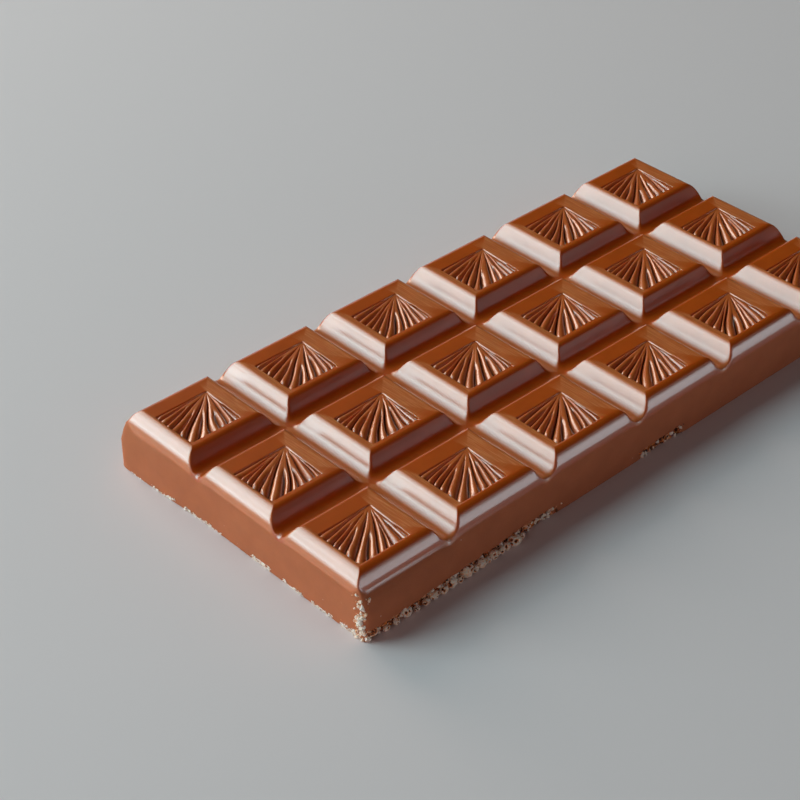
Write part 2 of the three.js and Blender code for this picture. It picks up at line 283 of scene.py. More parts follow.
class MeshPlan:
    """Points and faces gathered loop by loop, with named values at each point.

    Attributes:
        names: Names of the values that each point carries.
    """

    WELD_DIGITS = 4

    def __init__(self, names: Sequence[str]) -> None:
        """Starts an empty plan."""
        self.names = tuple(names)
        self.points: list[np.ndarray] = []
        self.values: dict[str, list[np.ndarray]] = {name: [] for name in names}
        self.faces: list[list[int]] = []
        self.count = 0

    def add(self, points: np.ndarray, **values: np.ndarray | float) -> np.ndarray:
        """Adds a run of points.

        Args:
            points: One row of x, y and z for each point, in millimetres.
            **values: A number, or one number a point, for each named value. The rest are 0.

        Returns:
            The numbers of the new points.
        """
        points = np.asarray(points, float)
        self.points.append(points)
        for name in self.names:
            self.values[name].append(np.broadcast_to(values.get(name, 0.0), len(points)).astype(float))
        self.count += len(points)
        return np.arange(self.count - len(points), self.count)

    def strip(self, outer: np.ndarray, inner: np.ndarray, closed: bool = True) -> None:
        """Joins two runs of equally many points with four-sided faces, outer run first."""
        count = len(outer)
        for i in range(count if closed else count - 1):
            j = (i + 1) % count
            self.faces.append([outer[i], outer[j], inner[j], inner[i]])

    def zipper(self, outer: np.ndarray, inner: np.ndarray) -> None:
        """Joins two closed loops of any number of points with triangles.

        Args:
            outer: The outer or lower loop, counter-clockwise.
            inner: The inner or upper loop, which starts beside the outer loop's first point.
        """
        place = np.concatenate(self.points)
        a, b = place[outer], place[inner]
        i = j = 0
        while i < len(a) or j < len(b):
            step_a = np.linalg.norm(a[(i + 1) % len(a)] - b[j % len(b)])
            step_b = np.linalg.norm(a[i % len(a)] - b[(j + 1) % len(b)])
            if j == len(b) or (i < len(a) and step_a <= step_b):
                self.faces.append([outer[i % len(a)], outer[(i + 1) % len(a)], inner[j % len(b)]])
                i += 1
            else:
                self.faces.append([outer[i % len(a)], inner[(j + 1) % len(b)], inner[j % len(b)]])
                j += 1

    def mesh_object(self, name: str) -> bpy.types.Object:
        """Makes the plan an object, with points at one place welded.

        Args:
            name: Name of the object.

        Returns:
            The object, whose mesh carries the named values as attributes.
        """
        place = np.concatenate(self.points)
        rounded = np.round(place, self.WELD_DIGITS)
        _, first, weld = np.unique(rounded, axis=0, return_index=True, return_inverse=True)
        weld = weld.reshape(-1)
        faces = []
        for face in self.faces:
            corners = list(dict.fromkeys(int(weld[k]) for k in face))
            if len(corners) > 2:
                faces.append(corners)
        mesh = bpy.data.meshes.new(name)
        mesh.from_pydata((place[first] * MM).tolist(), [], faces)
        for value in self.names:
            column = np.concatenate(self.values[value])[first]
            mesh.attributes.new(value, "FLOAT", "POINT").data.foreach_set("value", column)
        mesh.shade_smooth()
        mesh.validate()
        return linked(name, mesh)


# ---- Geometry Nodes ----


class NodeBuilder:
    """Adds nodes to a node tree and links them, so that a tree reads as a list of steps."""

    def __init__(self, name: str, kind: str) -> None:
        """Starts an empty tree of a kind, such as GeometryNodeTree."""
        self.tree = bpy.data.node_groups.new(name, kind)
        self.identifiers: dict[str, str] = {}

    def inlet(self, name: str, kind: str, value: object = None) -> None:
        """Adds a named input with its usual value."""
        socket = self.tree.interface.new_socket(name, in_out="INPUT", socket_type=kind)
        if value is not None:
            socket.default_value = value
        self.identifiers[name] = socket.identifier

    def outlet(self, name: str, kind: str) -> None:
        """Adds a named output."""
        self.tree.interface.new_socket(name, in_out="OUTPUT", socket_type=kind)

    def add(self, kind: str, sockets: dict | None = None, **settings: object) -> bpy.types.Node:
        """Adds a node.

        Args:
            kind: The node's type name.
            sockets: What each input gets, by its name or number: an output to link, or a value.
            **settings: Settings of the node itself.

        Returns:
            The node.
        """
        node = self.tree.nodes.new(kind)
        for name, value in settings.items():
            setattr(node, name, value)
        for key, value in (sockets or {}).items():
            if isinstance(value, bpy.types.NodeSocket):
                self.tree.links.new(value, node.inputs[key])
            else:
                node.inputs[key].default_value = value
        return node

    def math(self, operation: str, *values: object) -> bpy.types.NodeSocket:
        """Adds a Math node and returns its result."""
        return self.add("ShaderNodeMath", dict(enumerate(values)), operation=operation).outputs[0]

    def vector(self, operation: str, *values: object) -> bpy.types.NodeSocket:
        """Adds a Vector Math node and returns its vector."""
        sockets = {(3 if operation == "SCALE" and k == 1 else k): v for k, v in enumerate(values)}
        return self.add("ShaderNodeVectorMath", sockets, operation=operation).outputs[0]

    def product(self, first: object, *others: object) -> bpy.types.NodeSocket:
        """Multiplies values one after the other and returns the result."""
        for other in others:
            first = self.math("MULTIPLY", first, other)
        return first

    def blend(self, share: object, first: object, second: object) -> bpy.types.NodeSocket:
        """Mixes two numbers and returns the result."""
        return self.add("ShaderNodeMix", {0: share, 2: first, 3: second}).outputs[0]

    def span(self, value: object, start: float, end: float) -> bpy.types.NodeSocket:
        """Returns how far a value has come from start to end, from 0 to 1."""
        return self.add("ShaderNodeMapRange", {"Value": value, 1: start, 2: end}).outputs[0]

    def noise(self, place: object, scale: object, detail: float) -> bpy.types.Node:
        """Adds a noise texture and returns its node."""
        return self.add("ShaderNodeTexNoise", {"Vector": place, "Scale": scale, "Detail": detail})

    def attribute(self, name: str, kind: str = "FLOAT") -> bpy.types.NodeSocket:
        """Reads a named value of the mesh and returns it."""
        node = self.add("GeometryNodeInputNamedAttribute", {"Name": name}, data_type=kind)
        return next(out for out in node.outputs if out.enabled and out.name == "Attribute")

    def curve(self, points: Sequence[tuple[float, float]], value: object) -> bpy.types.NodeSocket:
        """Reads a curve of straight steps.

        Args:
            points: Pairs of place and height, in rising order of place.
            value: Where the curve is read.

        Returns:
            The height of the curve at that value.
        """
        reach = points[-1][0]
        tallest = max(height for _, height in points)
        node = self.add("ShaderNodeFloatCurve", {"Value": self.math("DIVIDE", value, reach)})
        handles = node.mapping.curves[0].points
        while len(handles) < len(points):
            handles.new(0.5, 0.5)
        for handle, (place, height) in zip(handles, points):
            handle.location = (place / reach, height / tallest)
            handle.handle_type = "VECTOR"
        node.mapping.update()
        return self.math("MULTIPLY", node.outputs[0], tallest)

    def given(self) -> bpy.types.Node:
        """Adds the tree's input node and returns it."""
        return self.tree.nodes.new("NodeGroupInput")

    def result(self, name: str, value: bpy.types.NodeSocket) -> None:
        """Links a value to a named output."""
        end = next((n for n in self.tree.nodes if n.type == "GROUP_OUTPUT"), None)
        end = end or self.tree.nodes.new("NodeGroupOutput")
        self.tree.links.new(value, end.inputs[name])


def run_tree(piece: bpy.types.Object, builder: NodeBuilder, values: dict[str, object]) -> None:
    """Runs a Geometry Nodes tree on an object and keeps the result as its plain mesh.

    Args:
        piece: The object whose mesh the tree starts from.
        builder: The tree, with the identifiers of its inputs.
        values: What each named input gets.
    """
    modifier = piece.modifiers.new(builder.tree.name, "NODES")
    modifier.node_group = builder.tree
    for name, value in values.items():
        modifier[builder.identifiers[name]] = value
    depsgraph = bpy.context.evaluated_depsgraph_get()
    plain = bpy.data.meshes.new_from_object(
        piece.evaluated_get(depsgraph), preserve_all_data_layers=True, depsgraph=depsgraph
    )
    piece.modifiers.remove(modifier)
    before = piece.data
    piece.data = plain
    plain.name = piece.name
    bpy.data.meshes.remove(before)


# ---- The moulded slab ----


@dataclass(frozen=True)
class Valley:
    """A valley between two rays of a fan.

    Attributes:
        angle: Its direction from the fan's corner, in radians.
        deep: Its depth, as a share of the usual depth.
        start: How far out it starts, as a share of the way to the fan's border.
        sway: How far it bends sideways, in radians.
        wave: How far it swings to one side and then to the other, in radians.
    """

    angle: float
    deep: float
    start: float
    sway: float
    wave: float
    wave: float

    GROWTH = 0.3

    def growth(self, reach: np.ndarray) -> np.ndarray:
        """Returns how deep the valley is at each reach, as a share of the usual depth."""
        return self.deep * smoothstep(reach, self.start, self.start + self.GROWTH)

@dataclass
class Fan:
    """One sunk fan of rays, spreading from the back right corner of its square.

    The rays are places on a grid: reaches from the corner to the border, and lines that follow
    each valley and crest.
    """

    half_x: float = 5.15
    half_y: float = 4.7
    shift_x: float = -1.0
    shift_y: float = -1.05
    corner_out: float = 0.4
    lean: float = 0.06
    rays_a_side: int = 6
    unevenness: float = 0.3
    corner_share: float = 0.55
    valley_depth: float = 0.95
    ray_sink: float = 0.08
    corner_sink: float = 0.3
    seed: int = 20

    REACHES = (0.03, 0.07, 0.12, 0.17, 0.22, 0.27, 0.32, 0.37, 0.42, 0.47, 0.52, 0.57, 0.62,
               0.67, 0.72, 0.77, 0.82, 0.87, 0.91, 0.94, 0.97, 0.985, 1.0)  # fmt: skip
    RISING = (0.0, 0.12, 0.3, 0.6)
    FALLING = (1.0, 0.6, 0.3, 0.12)
    SECTION = ((0.0, 1.0), (0.12, 0.74), (0.3, 0.4), (0.6, 0.1), (1.0, 0.0))
    # A valley's depth and start, and how far it sways and waves, as a share of a ray's width.
    END_WALL = (0.8, 0.02, 0.0, 0.0)
    DEEPNESS = (0.75, 1.15)
    EARLY = (0.06, 0.16)
    LATE = (0.3, 0.5)
    SWAY = 0.32
    WAVE = 0.16
    # Where the crest lies across a ray, before and after the fan's corner line.
    CREST_AT = (0.4, 0.62)
    # How far crests lie higher or lower, and how deep some dip at the border, before and after that.
    LIFT = (-0.03, 0.07)
    BORDER_DIPS = ((-0.1, 0.4), (-0.05, 0.15))
    DIP_START = 0.95
    CORNER_RUN = 0.55
    # The right wall stands in by WALL_IN, and by STEP_IN more past the place STEP_AT.
    WALL_IN = 0.12
    STEP_IN = (0.2, 0.4)
    STEP_AT = (0.38, 0.62)
    STEP_RUN = 0.08
    APEX_RUN = 0.1
    APEX_IN = 0.02

    def valleys(self, number: int) -> list[Valley]:
        """Lists the valleys of one fan, from its back wall to its right wall.

        Args:
            number: The square's number, which seeds the fan.

        Returns:
            The valleys, the walls at both ends among them.
        """
        shape = RandomRun(self.seed + number)
        detail = RandomRun(7 * self.seed + number)
        corner = math.atan2(self.half_y, self.half_x)
        found = [Valley(0.0, *self.END_WALL)]
        for side, (start, end) in enumerate([(0.0, corner), (corner, math.pi / 2)]):
            limits = (1 - self.unevenness, 1 + self.unevenness)
            widths = [shape.between(*limits) for _ in range(self.rays_a_side)]
            widths[-1 if side == 0 else 0] *= self.corner_share
            unit = (end - start) / sum(widths)
            angle = start
            for ray in range(self.rays_a_side - 1):
                angle += widths[ray] * unit
                early = (ray + side) % 2 == 0
                begin = detail.between(*(self.EARLY if early else self.LATE))
                sway = unit * detail.between(-self.SWAY, self.SWAY)
                wave = unit * detail.between(-self.WAVE, self.WAVE)
                found.append(Valley(angle, shape.between(*self.DEEPNESS), begin, sway, wave))
        found.append(Valley(math.pi / 2, *self.END_WALL))
        return found

    def place(self, angle: np.ndarray, reach: np.ndarray) -> np.ndarray:
        """Finds points of the fan from their directions and reaches.

        Args:
            angle: Directions from the fan's corner, in radians.
            reach: Shares of the way to the border.

        Returns:
            One row of x and y for each point, from the fan's middle.
        """
        along = 2 * self.half_x / np.maximum(np.cos(angle), TINY)
        across = 2 * self.half_y / np.maximum(np.sin(angle), TINY)
        length = reach * np.minimum(along, across)
        to_left, y = length * np.cos(angle), self.half_y - length * np.sin(angle)
        out = self.lean_out(y) * (1 - to_left / (2 * self.half_x))
        return np.stack([self.half_x - to_left + out, y], axis=-1)

    def lean_out(self, y: np.ndarray) -> np.ndarray:
        """Returns how far the fan's right border stands out beside y, from the fan's middle."""
        return self.corner_out - self.lean * (self.half_y - y)

    def lines(self, number: int) -> list[dict[str, np.ndarray]]:
        """Works out the lines of one fan.

        Args:
            number: The square's number, which seeds the fan.

        Returns:
            For each line, its points and what the mesh carries there: ray, the place across the
            ray from 0 in a valley to 1 on the crest, grown, how deep the valley is, and sink, how
            far the crest lies under the flat top.
        """
        detail = RandomRun(11 * self.seed + number)
        corner = math.atan2(self.half_y, self.half_x)
        valleys = self.valleys(number)
        reach = np.array(self.REACHES)
        bend, swing = np.sin(math.pi * reach), np.sin(2 * math.pi * reach)
        made = []
        for before, after in zip(valleys, valleys[1:]):
            shared = before.angle < corner < after.angle
            lean = self.CREST_AT[0 if after.angle <= corner else 1]
            crest = corner if shared else before.angle + lean * (after.angle - before.angle)
            sway, wave = before.sway + after.sway, before.wave + after.wave
            crest_path = crest + (bend * sway + swing * wave) / 2
            rise = self.ray_sink + detail.between(*self.LIFT) - self.corner_sink
            dip = detail.between(*self.BORDER_DIPS[0 if crest < corner else 1])
            sink = self.corner_sink + rise * smoothstep(reach, 0.0, self.CORNER_RUN)
            sink = sink + max(dip, 0.0) * smoothstep(reach, self.DIP_START, 1.0)
            for near, shares in ((before, self.RISING), (after, self.FALLING)):
                path = near.angle + bend * near.sway + swing * near.wave
                for share in shares:
                    angle = path + (crest_path - path) * share
                    made.append(self.line(angle, share, near.growth(reach), sink))
        last = valleys[-1]
        made.append(self.line(np.full(len(reach), last.angle), 0.0, last.growth(reach), sink))
        return made

    def line(
        self, angle: np.ndarray, share: float, growth: np.ndarray, sink: np.ndarray
    ) -> dict[str, np.ndarray]:
        """Gathers the points of one line of the fan and what the mesh carries there.

        Args:
            angle: The line's direction at each reach, in radians.
            share: Its place across the ray, from 0 in a valley to 1 on the crest.
            growth: How deep the valley beside it is.
            sink: How far the crest lies under the flat top.

        Returns:
            The points, and the values by their names.
        """
        reach = np.array(self.REACHES)
        ray = np.full(len(reach), share)
        return {"points": self.place(angle, reach), "ray": ray, "grown": growth, "sink": sink}


@dataclass
class MouldedSlab:
    """The bar itself: squares, grooves, rim and walls in one closed mesh."""

    grid: SquareGrid
    fan: Fan
    top: float = 11.7
    wall_top: float = 8.7
    wall_end: float = 3.0
    base_half_x: float = 63.1
    base_half_y: float = 28.6
    flare_x: float = 0.9
    flare_y: float = 1.6
    ridge_power: float = 11.0
    corner_inset: float = 0.6
    torn_depth: float = 0.6
    side_steps: int = 9

    VALUES = ("out_x", "out_y", "rim_x", "rim_y", "ray", "grown", "sink", "wall", "matte",
              "ragged", "facing_x", "facing_y", "across", "crumbly", "flaky")  # fmt: skip
    ACROSS_GROOVE = (-0.04, 0, 0.1, 0.25, 0.42, 0.62, 0.83, 1.03, 1.25,
                     1.5, 1.75, 2, 2.3, 2.65, 3.05, 3.35, 3.6)  # fmt: skip
    SHARE_OF_RIM = (-0.02, 0, 0.05, 0.11, 0.18, 0.26, 0.35, 0.44, 0.53,
                    0.62, 0.7, 0.78, 0.85, 0.91, 0.96, 0.985, 1)  # fmt: skip
    CORNER_STEPS = (0.0, 0.2, 0.4, 0.58, 0.74, 0.87, 0.95, 1.0)
    # How square the corners of the outlines are. Soft ones get squarer with each outline.
    SHARP = 60.0
    ROUND = 5.4
    SOFT = 5.0
    SOFT_STEP = 0.3
    # How softly the strips of a frame meet at its corners, and their way inside a fan.
    MITRE = 0.05
    HALF_WAY = 0.5
    # Arcs of the rim across X and across Y: radius, and the slopes at both ends.
    RIM_ARCS = {
        "x": ((1.3, 0.0, 30.0), (3.2, 30.0, 50.0), (4.4, 50.0, 70.0)),
        "y": ((1.6, 0.0, 60.0), (24.0, 60.0, 64.0)),
    }
    # The small step at the foot of the long sides' rim: inwards and upwards.
    RIM_STEP = (0.02, 0.2)
    # Radius of a groove's hollow, the slope where its shoulder ends, and its steepest slope.
    GROOVE_SLOPES = {"x": (2.05, 58.0, 58.0), "y": (1.8, 50.0, 57.0)}
    # How softly grooves level out where they cross.
    CROSSING_ROUND = 0.25
    # The roll of a groove's end over the rim.
    LIP_RADIUS = 1.1
    LIP_DROP = 0.5
    LIP_HALF = 1.6
    # Loops of a fan's walls: outwards at the right, back, left and front, and depth under the flat top.
    MOUTH = ((0.12, 0.03, 0.05, 0.04, 0.24), (0.3, 0.1, 0.14, 0.08, 0.13), (0.4, 0.22, 0.22, 0.14, 0.13))
    STEP_OUT = 0.2
    STEP_RISE = 0.1
    BRIM_IN = 0.3
    NEAR = 1e-3
    # Where the foot starts to flare along each wall, and how much of the flare is left at a height.
    FLARE_BACK = 4.0
    FLARE_LEFT = 14.0
    FLARE_RIGHT = 46.0
    FLARE_HEIGHTS = (5.2, 7.2, 9.2)
    FLARE_SHARES = (1.0, 0.6, 0.0)
    EDGE_POWER = 8
    # Rows of the walls, from the rim down.
    WALL_SHARES = (0.08, 0.3, 0.62, 1.0)
    FOOT_HEIGHTS = (2.7, 2.35, 2.0, 1.7, 1.4, 1.1, 0.8, 0.5, 0.25, 0.08, 0.0)
    TUCK = 0.12
    # The uneven foot: how far it reaches, and the size and middle of its noise.
    RAGGED_REACH = 0.5
    RAGGED_GAIN = 3.0
    RAGGED_SCALE = 700.0
    RAGGED_DETAIL = 4.0
    RAGGED_MIDDLE = 0.42

    def flared_x(self, y: np.ndarray) -> np.ndarray:
        """Returns how far the foot of the end walls stands out beside y."""
        return self.flare_x * smoothstep(y, self.FLARE_BACK, self.base_half_y)

    def flared_y(self, x: np.ndarray) -> np.ndarray:
        """Returns how far the foot of the long walls stands out beside x."""
        left = smoothstep(-np.asarray(x), self.FLARE_LEFT, self.base_half_x)
        return self.flare_y * (left + smoothstep(x, self.FLARE_RIGHT, self.base_half_x))

    def ring(self, column: int, row: int, step: int) -> np.ndarray:
        """Works out one closed outline round a square, from its back right corner onwards.

        Args:
            column: The square's column.
            row: The square's row.
            step: Which outline, from the flat top outwards.

        Returns:
            One row of x and y for each point, in millimetres.
        """
        flat = self.grid.flat(column, row)
        outer = self.grid.outer_sides(column, row)
        inset = self.corner_inset
        share = self.SHARE_OF_RIM[step]
        rims = {side: share * (self.grid.rim_y, self.grid.rim_x)[side.value % 2] for side in Side}
        groove = self.ACROSS_GROOVE[step]
        reach = {side: inset + (rims[side] if side in outer else groove) for side in Side}
        last = step == len(self.ACROSS_GROOVE) - 1
        core = flat.grown(-inset, -inset, -inset, -inset)
        corners = (
            (core.right, core.back, Side.RIGHT, Side.BACK, 0),
            (core.left, core.back, Side.BACK, Side.LEFT, 1),
            (core.left, core.front, Side.LEFT, Side.FRONT, 2),
            (core.right, core.front, Side.FRONT, Side.RIGHT, 3),
        )
        rising = [(1.0, s) for s in self.CORNER_STEPS]
        spread = np.array(rising + [(s, 1.0) for s in reversed(self.CORNER_STEPS[:-1])])
        arcs = []
        for x, y, first, second, turn in corners:
            free = first in outer and second in outer
            soft = self.SHARP if last else self.SOFT + self.SOFT_STEP * step
            power = self.ROUND if free else soft
            unit = spread / np.sum(spread**power, axis=1, keepdims=True) ** (1 / power)
            if last and not free:
                unit = spread.copy()
            one, two = unit[:, 0] * reach[first], unit[:, 1] * reach[second]
            offsets = {0: (one, two), 1: (-two, one), 2: (-one, -two), 3: (two, -one)}[turn]
            arcs.append(np.stack([x + offsets[0], y + offsets[1]], axis=-1))
        points = []
        for arc, following in zip(arcs, arcs[1:] + arcs[:1]):
            points.append(arc)
            shares = np.arange(1, self.side_steps)[:, None] / self.side_steps
            points.append(arc[-1] + (following[0] - arc[-1]) * shares)
        return np.concatenate(points)

    def side_run(self, side: Side) -> np.ndarray:
        """Returns which points of an outline lie along one side, corner to corner."""
        corner = 2 * len(self.CORNER_STEPS) - 1
        whole = corner + self.side_steps - 1
        start = side.value * whole + len(self.CORNER_STEPS) - 1
        return np.arange(start, start + whole + 1) % (4 * whole)

    def ring_values(self, column: int, row: int, points: np.ndarray) -> dict[str, np.ndarray]:
        """Says where points lie beside a square's flat top.

        Args:
            column: The square's column.
            row: The square's row.
            points: One row of x and y for each point.

        Returns:
            How far each point lies beyond the flat top in x and y, whether that is on the bar's
            rim, and how far a groove's end is rounded off there.
        """
        flat = self.grid.flat(column, row)
        outer = self.grid.outer_sides(column, row)
        x, y = points[:, 0], points[:, 1]
        out_x = np.maximum(np.maximum(flat.left - x, x - flat.right), 0.0)
        out_y = np.maximum(np.maximum(flat.front - y, y - flat.back), 0.0)
        rim_x = ((x < flat.left) & (Side.LEFT in outer)) | ((x > flat.right) & (Side.RIGHT in outer))
        rim_y = ((y < flat.front) & (Side.FRONT in outer)) | ((y > flat.back) & (Side.BACK in outer))
        lip = self.groove_lip(self.grid.rim_x - out_x, out_y, rim_x & ~rim_y)
        lip += self.groove_lip(self.grid.rim_y - out_y, out_x, rim_y & ~rim_x)
        return {
            "out_x": out_x,
            "out_y": out_y,
            "rim_x": rim_x.astype(float),
            "rim_y": rim_y.astype(float),
            "ray": np.ones(len(x)),
            "sink": lip,
        }

    def groove_lip(self, to_wall: np.ndarray, beside: np.ndarray, rim: np.ndarray) -> np.ndarray:
        """Rounds off the end of a groove where it runs out through the rim.

        Args:
            to_wall: Distance from the wall.
            beside: Distance beyond the flat top, towards the groove.
            rim: Whether the point lies on the rim at the groove's end.

        Returns:
            How far the surface drops, in millimetres.
        """
        near = 1.0 - np.clip(to_wall, 0.0, self.LIP_RADIUS) / self.LIP_RADIUS
        roll = 1.0 - np.sqrt(1.0 - near**2)
        to_groove = (self.grid.groove_half - beside) / self.LIP_HALF
        return self.LIP_DROP * roll * np.exp(-(to_groove**2)) * rim

    def add_square(self, plan: MeshPlan, column: int, row: int) -> list[np.ndarray]:
        """Adds one square: its fan, frame and flanks.

        Args:
            plan: Where the mesh is gathered.
            column: The square's column.
            row: The square's row.

        Returns:
            The numbers of the points on the square's outermost outline, side by side.
        """
        mouth = self.add_fan(plan, column, row)
        rings = []
        for step in range(len(self.ACROSS_GROOVE)):
            points = self.ring(column, row, step)
            values = self.ring_values(column, row, points)
            way = self.strip_way(column, row, points)
            rings.append(plan.add(raised(points, self.top), across=way, **values))
        plan.zipper(rings[0], mouth)
        for inner, outer in zip(rings, rings[1:]):
            plan.strip(outer, inner)
        return [rings[-1][self.side_run(side)] for side in Side]

    def strip_way(self, column: int, row: int, points: np.ndarray) -> np.ndarray:
        """Says which way the strips of a frame run: 1 along Y, 0 along X."""
        flat = self.grid.flat(column, row)
        x, y = flat.middle
        beside = np.abs(points[:, 0] - x) / ((flat.right - flat.left) / 2)
        beyond = np.abs(points[:, 1] - y) / ((flat.back - flat.front) / 2)
        return smoothstep(beside - beyond, -self.MITRE, self.MITRE)

    def add_fan(self, plan: MeshPlan, column: int, row: int) -> np.ndarray:
        """Adds one fan with the walls round it.

        Args:
            plan: Where the mesh is gathered.
            column: The square's column.
            row: The square's row.

        Returns:
            The numbers of the points round its mouth, counter-clockwise from its corner.
        """
        fan, flat = self.fan, self.grid.flat(column, row)
        middle_y = self.grid.groove_line(1, row) + self.grid.pitch_y / 2
        centre = np.array([flat.middle[0] + fan.shift_x, middle_y + fan.shift_y])
        number = column * self.grid.rows + row
        detail = RandomRun(13 * fan.seed + number)
        lines = fan.lines(number)
        step_in = detail.between(*fan.STEP_IN)
        step_at = detail.between(*fan.STEP_AT)
        reach = np.array(fan.REACHES)
        inward = fan.WALL_IN + step_in * smoothstep(reach, step_at, step_at + fan.STEP_RUN)
        last_ray = len(fan.RISING) + len(fan.FALLING)
        rows = []
        for index, line in enumerate(lines):
            closeness = max(0.0, 1 - (len(lines) - 1 - index) / last_ray)
            pulled = -inward * closeness * np.minimum(reach / fan.APEX_RUN, 1)
            shift = np.stack([pulled, 0 * reach], axis=-1)
            place = raised(centre + line.pop("points") + shift, self.top)
            rows.append(plan.add(place, across=self.HALF_WAY, **line))
        apex_x = centre[0] + fan.half_x + fan.corner_out - fan.APEX_IN
        apex_y = centre[1] + fan.half_y - fan.APEX_IN
        apex_place = np.array([[apex_x, apex_y, self.top]])
        apex = plan.add(apex_place, ray=1.0, sink=fan.corner_sink, across=self.HALF_WAY)
        for one, two in zip(rows, rows[1:]):
            plan.faces.append([apex[0], one[0], two[0]])
            plan.strip(one, two, closed=False)
        ends = [line[-1] for line in rows[1:-1]]
        border = np.concatenate([apex, rows[0], ends, rows[-1][::-1]])
        return self.add_mouth(plan, border, centre, step_at)

    def add_mouth(
        self, plan: MeshPlan, border: np.ndarray, centre: np.ndarray, step_at: float
    ) -> np.ndarray:
        """Adds the walls of a fan, from the rays' border up to the frame.

        Args:
            plan: Where the mesh is gathered.
            border: Numbers of the points round the rays, counter-clockwise from the corner.
            centre: The fan's middle.
            step_at: Where the right wall steps, as a share of its length.

        Returns:
            The numbers of the points round the mouth.
        """
        fan = self.fan
        place = np.concatenate(plan.points)[border]
        x, y = place[:, 0] - centre[0], place[:, 1] - centre[1]
        back = y > fan.half_y - self.NEAR - fan.APEX_IN
        left = x < -fan.half_x + self.NEAR
        front = y < -fan.half_y + self.NEAR
        right = np.zeros(len(border), bool)
        right[[0, *range(-len(fan.REACHES), 0)]] = True
        down = (fan.half_y - y) / (2 * fan.half_y)
        past = smoothstep(down, step_at, step_at + fan.STEP_RUN)
        way = np.where((right & ~front) | left, 1.0, 0.0)
        loop = border
        for number, (out_right, out_back, out_left, out_front, sink) in enumerate(self.MOUTH):
            if number == 0:
                out_right = out_right + self.STEP_OUT * past
                sink = sink - self.STEP_RISE * past
            moved = place.copy()
            brim = centre[0] + fan.half_x + fan.lean_out(y) - self.BRIM_IN + out_right
            moved[:, 0] = np.where(right, brim, moved[:, 0])
            moved[:, 0] -= np.where(left, out_left, 0.0)
            moved[:, 1] += np.where(back, out_back, 0.0)
            moved[:, 1] -= np.where(front, out_front, 0.0)
            outer = plan.add(moved, ray=1.0, sink=sink, across=way)
            plan.strip(outer, loop)
            loop = outer
        return loop

    def wall_out(self, points: np.ndarray, height: float) -> np.ndarray:
        """Moves the outline of the rim to where the wall stands at a height.

        Args:
            points: One row of x and y for each point of the rim's outline.
            height: Height above the underside.

        Returns:
            The moved points.
        """
        share = 1 - height / self.wall_top
        rim_x, rim_y = self.grid.half_x, self.grid.half_y
        x = points[:, 0] * (1 + share * (self.base_half_x / rim_x - 1))
        y = points[:, 1] * (1 + share * (self.base_half_y / rim_y - 1))
        flared = np.interp(height, self.FLARE_HEIGHTS, self.FLARE_SHARES)
        edge_x = (np.abs(x) / rim_x) ** self.EDGE_POWER
        edge_y = (np.abs(y) / rim_y) ** self.EDGE_POWER
        out_x = np.sign(x) * self.flared_x(y) * flared * edge_x
        out_y = np.sign(y) * self.flared_y(x) * flared * edge_y
        return np.stack([x + out_x, y + out_y], axis=-1)

    def rim_outline(self) -> np.ndarray:
        """Returns the bar's outline at the foot of its rim, counter-clockwise."""
        last = len(self.ACROSS_GROOVE) - 1
        runs = []
        for column, row, side in self.grid.perimeter():
            runs.append(self.ring(column, row, last)[self.side_run(side)][:-1])
        return np.concatenate(runs)

    def add_walls(self, plan: MeshPlan, border: np.ndarray) -> None:
        """Adds the walls and the underside.

        Args:
            plan: Where the mesh is gathered.
            border: Numbers of the points along the rim, counter-clockwise.
        """
        place = np.concatenate(plan.points)[border]
        carried = {name: np.concatenate(plan.values[name])[border] for name in self.VALUES}
        upper = border
        for share in self.WALL_SHARES:
            height = self.wall_top + (self.wall_end - self.wall_top) * share
            spot = self.wall_out(place[:, :2], height)
            facing = outward(spot)
            values = {**carried, "facing_x": facing[:, 0], "facing_y": facing[:, 1]}
            values |= {"wall": share, "matte": 1.0}
            lower = plan.add(raised(spot, self.wall_end), **values)
            plan.strip(lower, upper)
            upper = lower
        outline = resample(self.wall_out(place[:, :2], self.wall_end), foot_spacing)
        facing = outward(outline)
        for number, height in enumerate(self.FOOT_HEIGHTS):
            tuck = self.TUCK if height == 0 else 0.0
            torn_back = self.torn_depth * crumbly_share(outline, height)
            spot = outline - facing * (tuck + torn_back)[:, None]
            lower = plan.add(
                raised(spot, height),
                wall=1.0,
                matte=1.0,
                ray=1.0,
                ragged=raggedness(spot, height),
                facing_x=facing[:, 0],
                facing_y=facing[:, 1],
                crumbly=crumbly_share(spot, height),
                flaky=flaky_share(spot, height),
            )
            join = plan.zipper if number == 0 else plan.strip
            join(lower, upper)
            upper = lower
        plan.faces.append([int(k) for k in upper[::-1]])

    def sections(self) -> dict[str, tuple[Section, Section]]:
        """Draws the sections of the grooves and of the rim, across X and across Y."""
        foot = self.top - self.wall_top
        rims = {}
        for axis, arcs in self.RIM_ARCS.items():
            rims[axis] = Section()
            for arc in arcs:
                rims[axis].arc(*arc)
        inwards, upwards = self.RIM_STEP
        rims["x"].to(self.grid.rim_x, foot)
        rims["y"].to(self.grid.rim_y - inwards, foot - upwards).to(self.grid.rim_y, foot)
        return {
            axis: (groove_section(self.grid, *self.GROOVE_SLOPES[axis]), rim) for axis, rim in rims.items()
        }

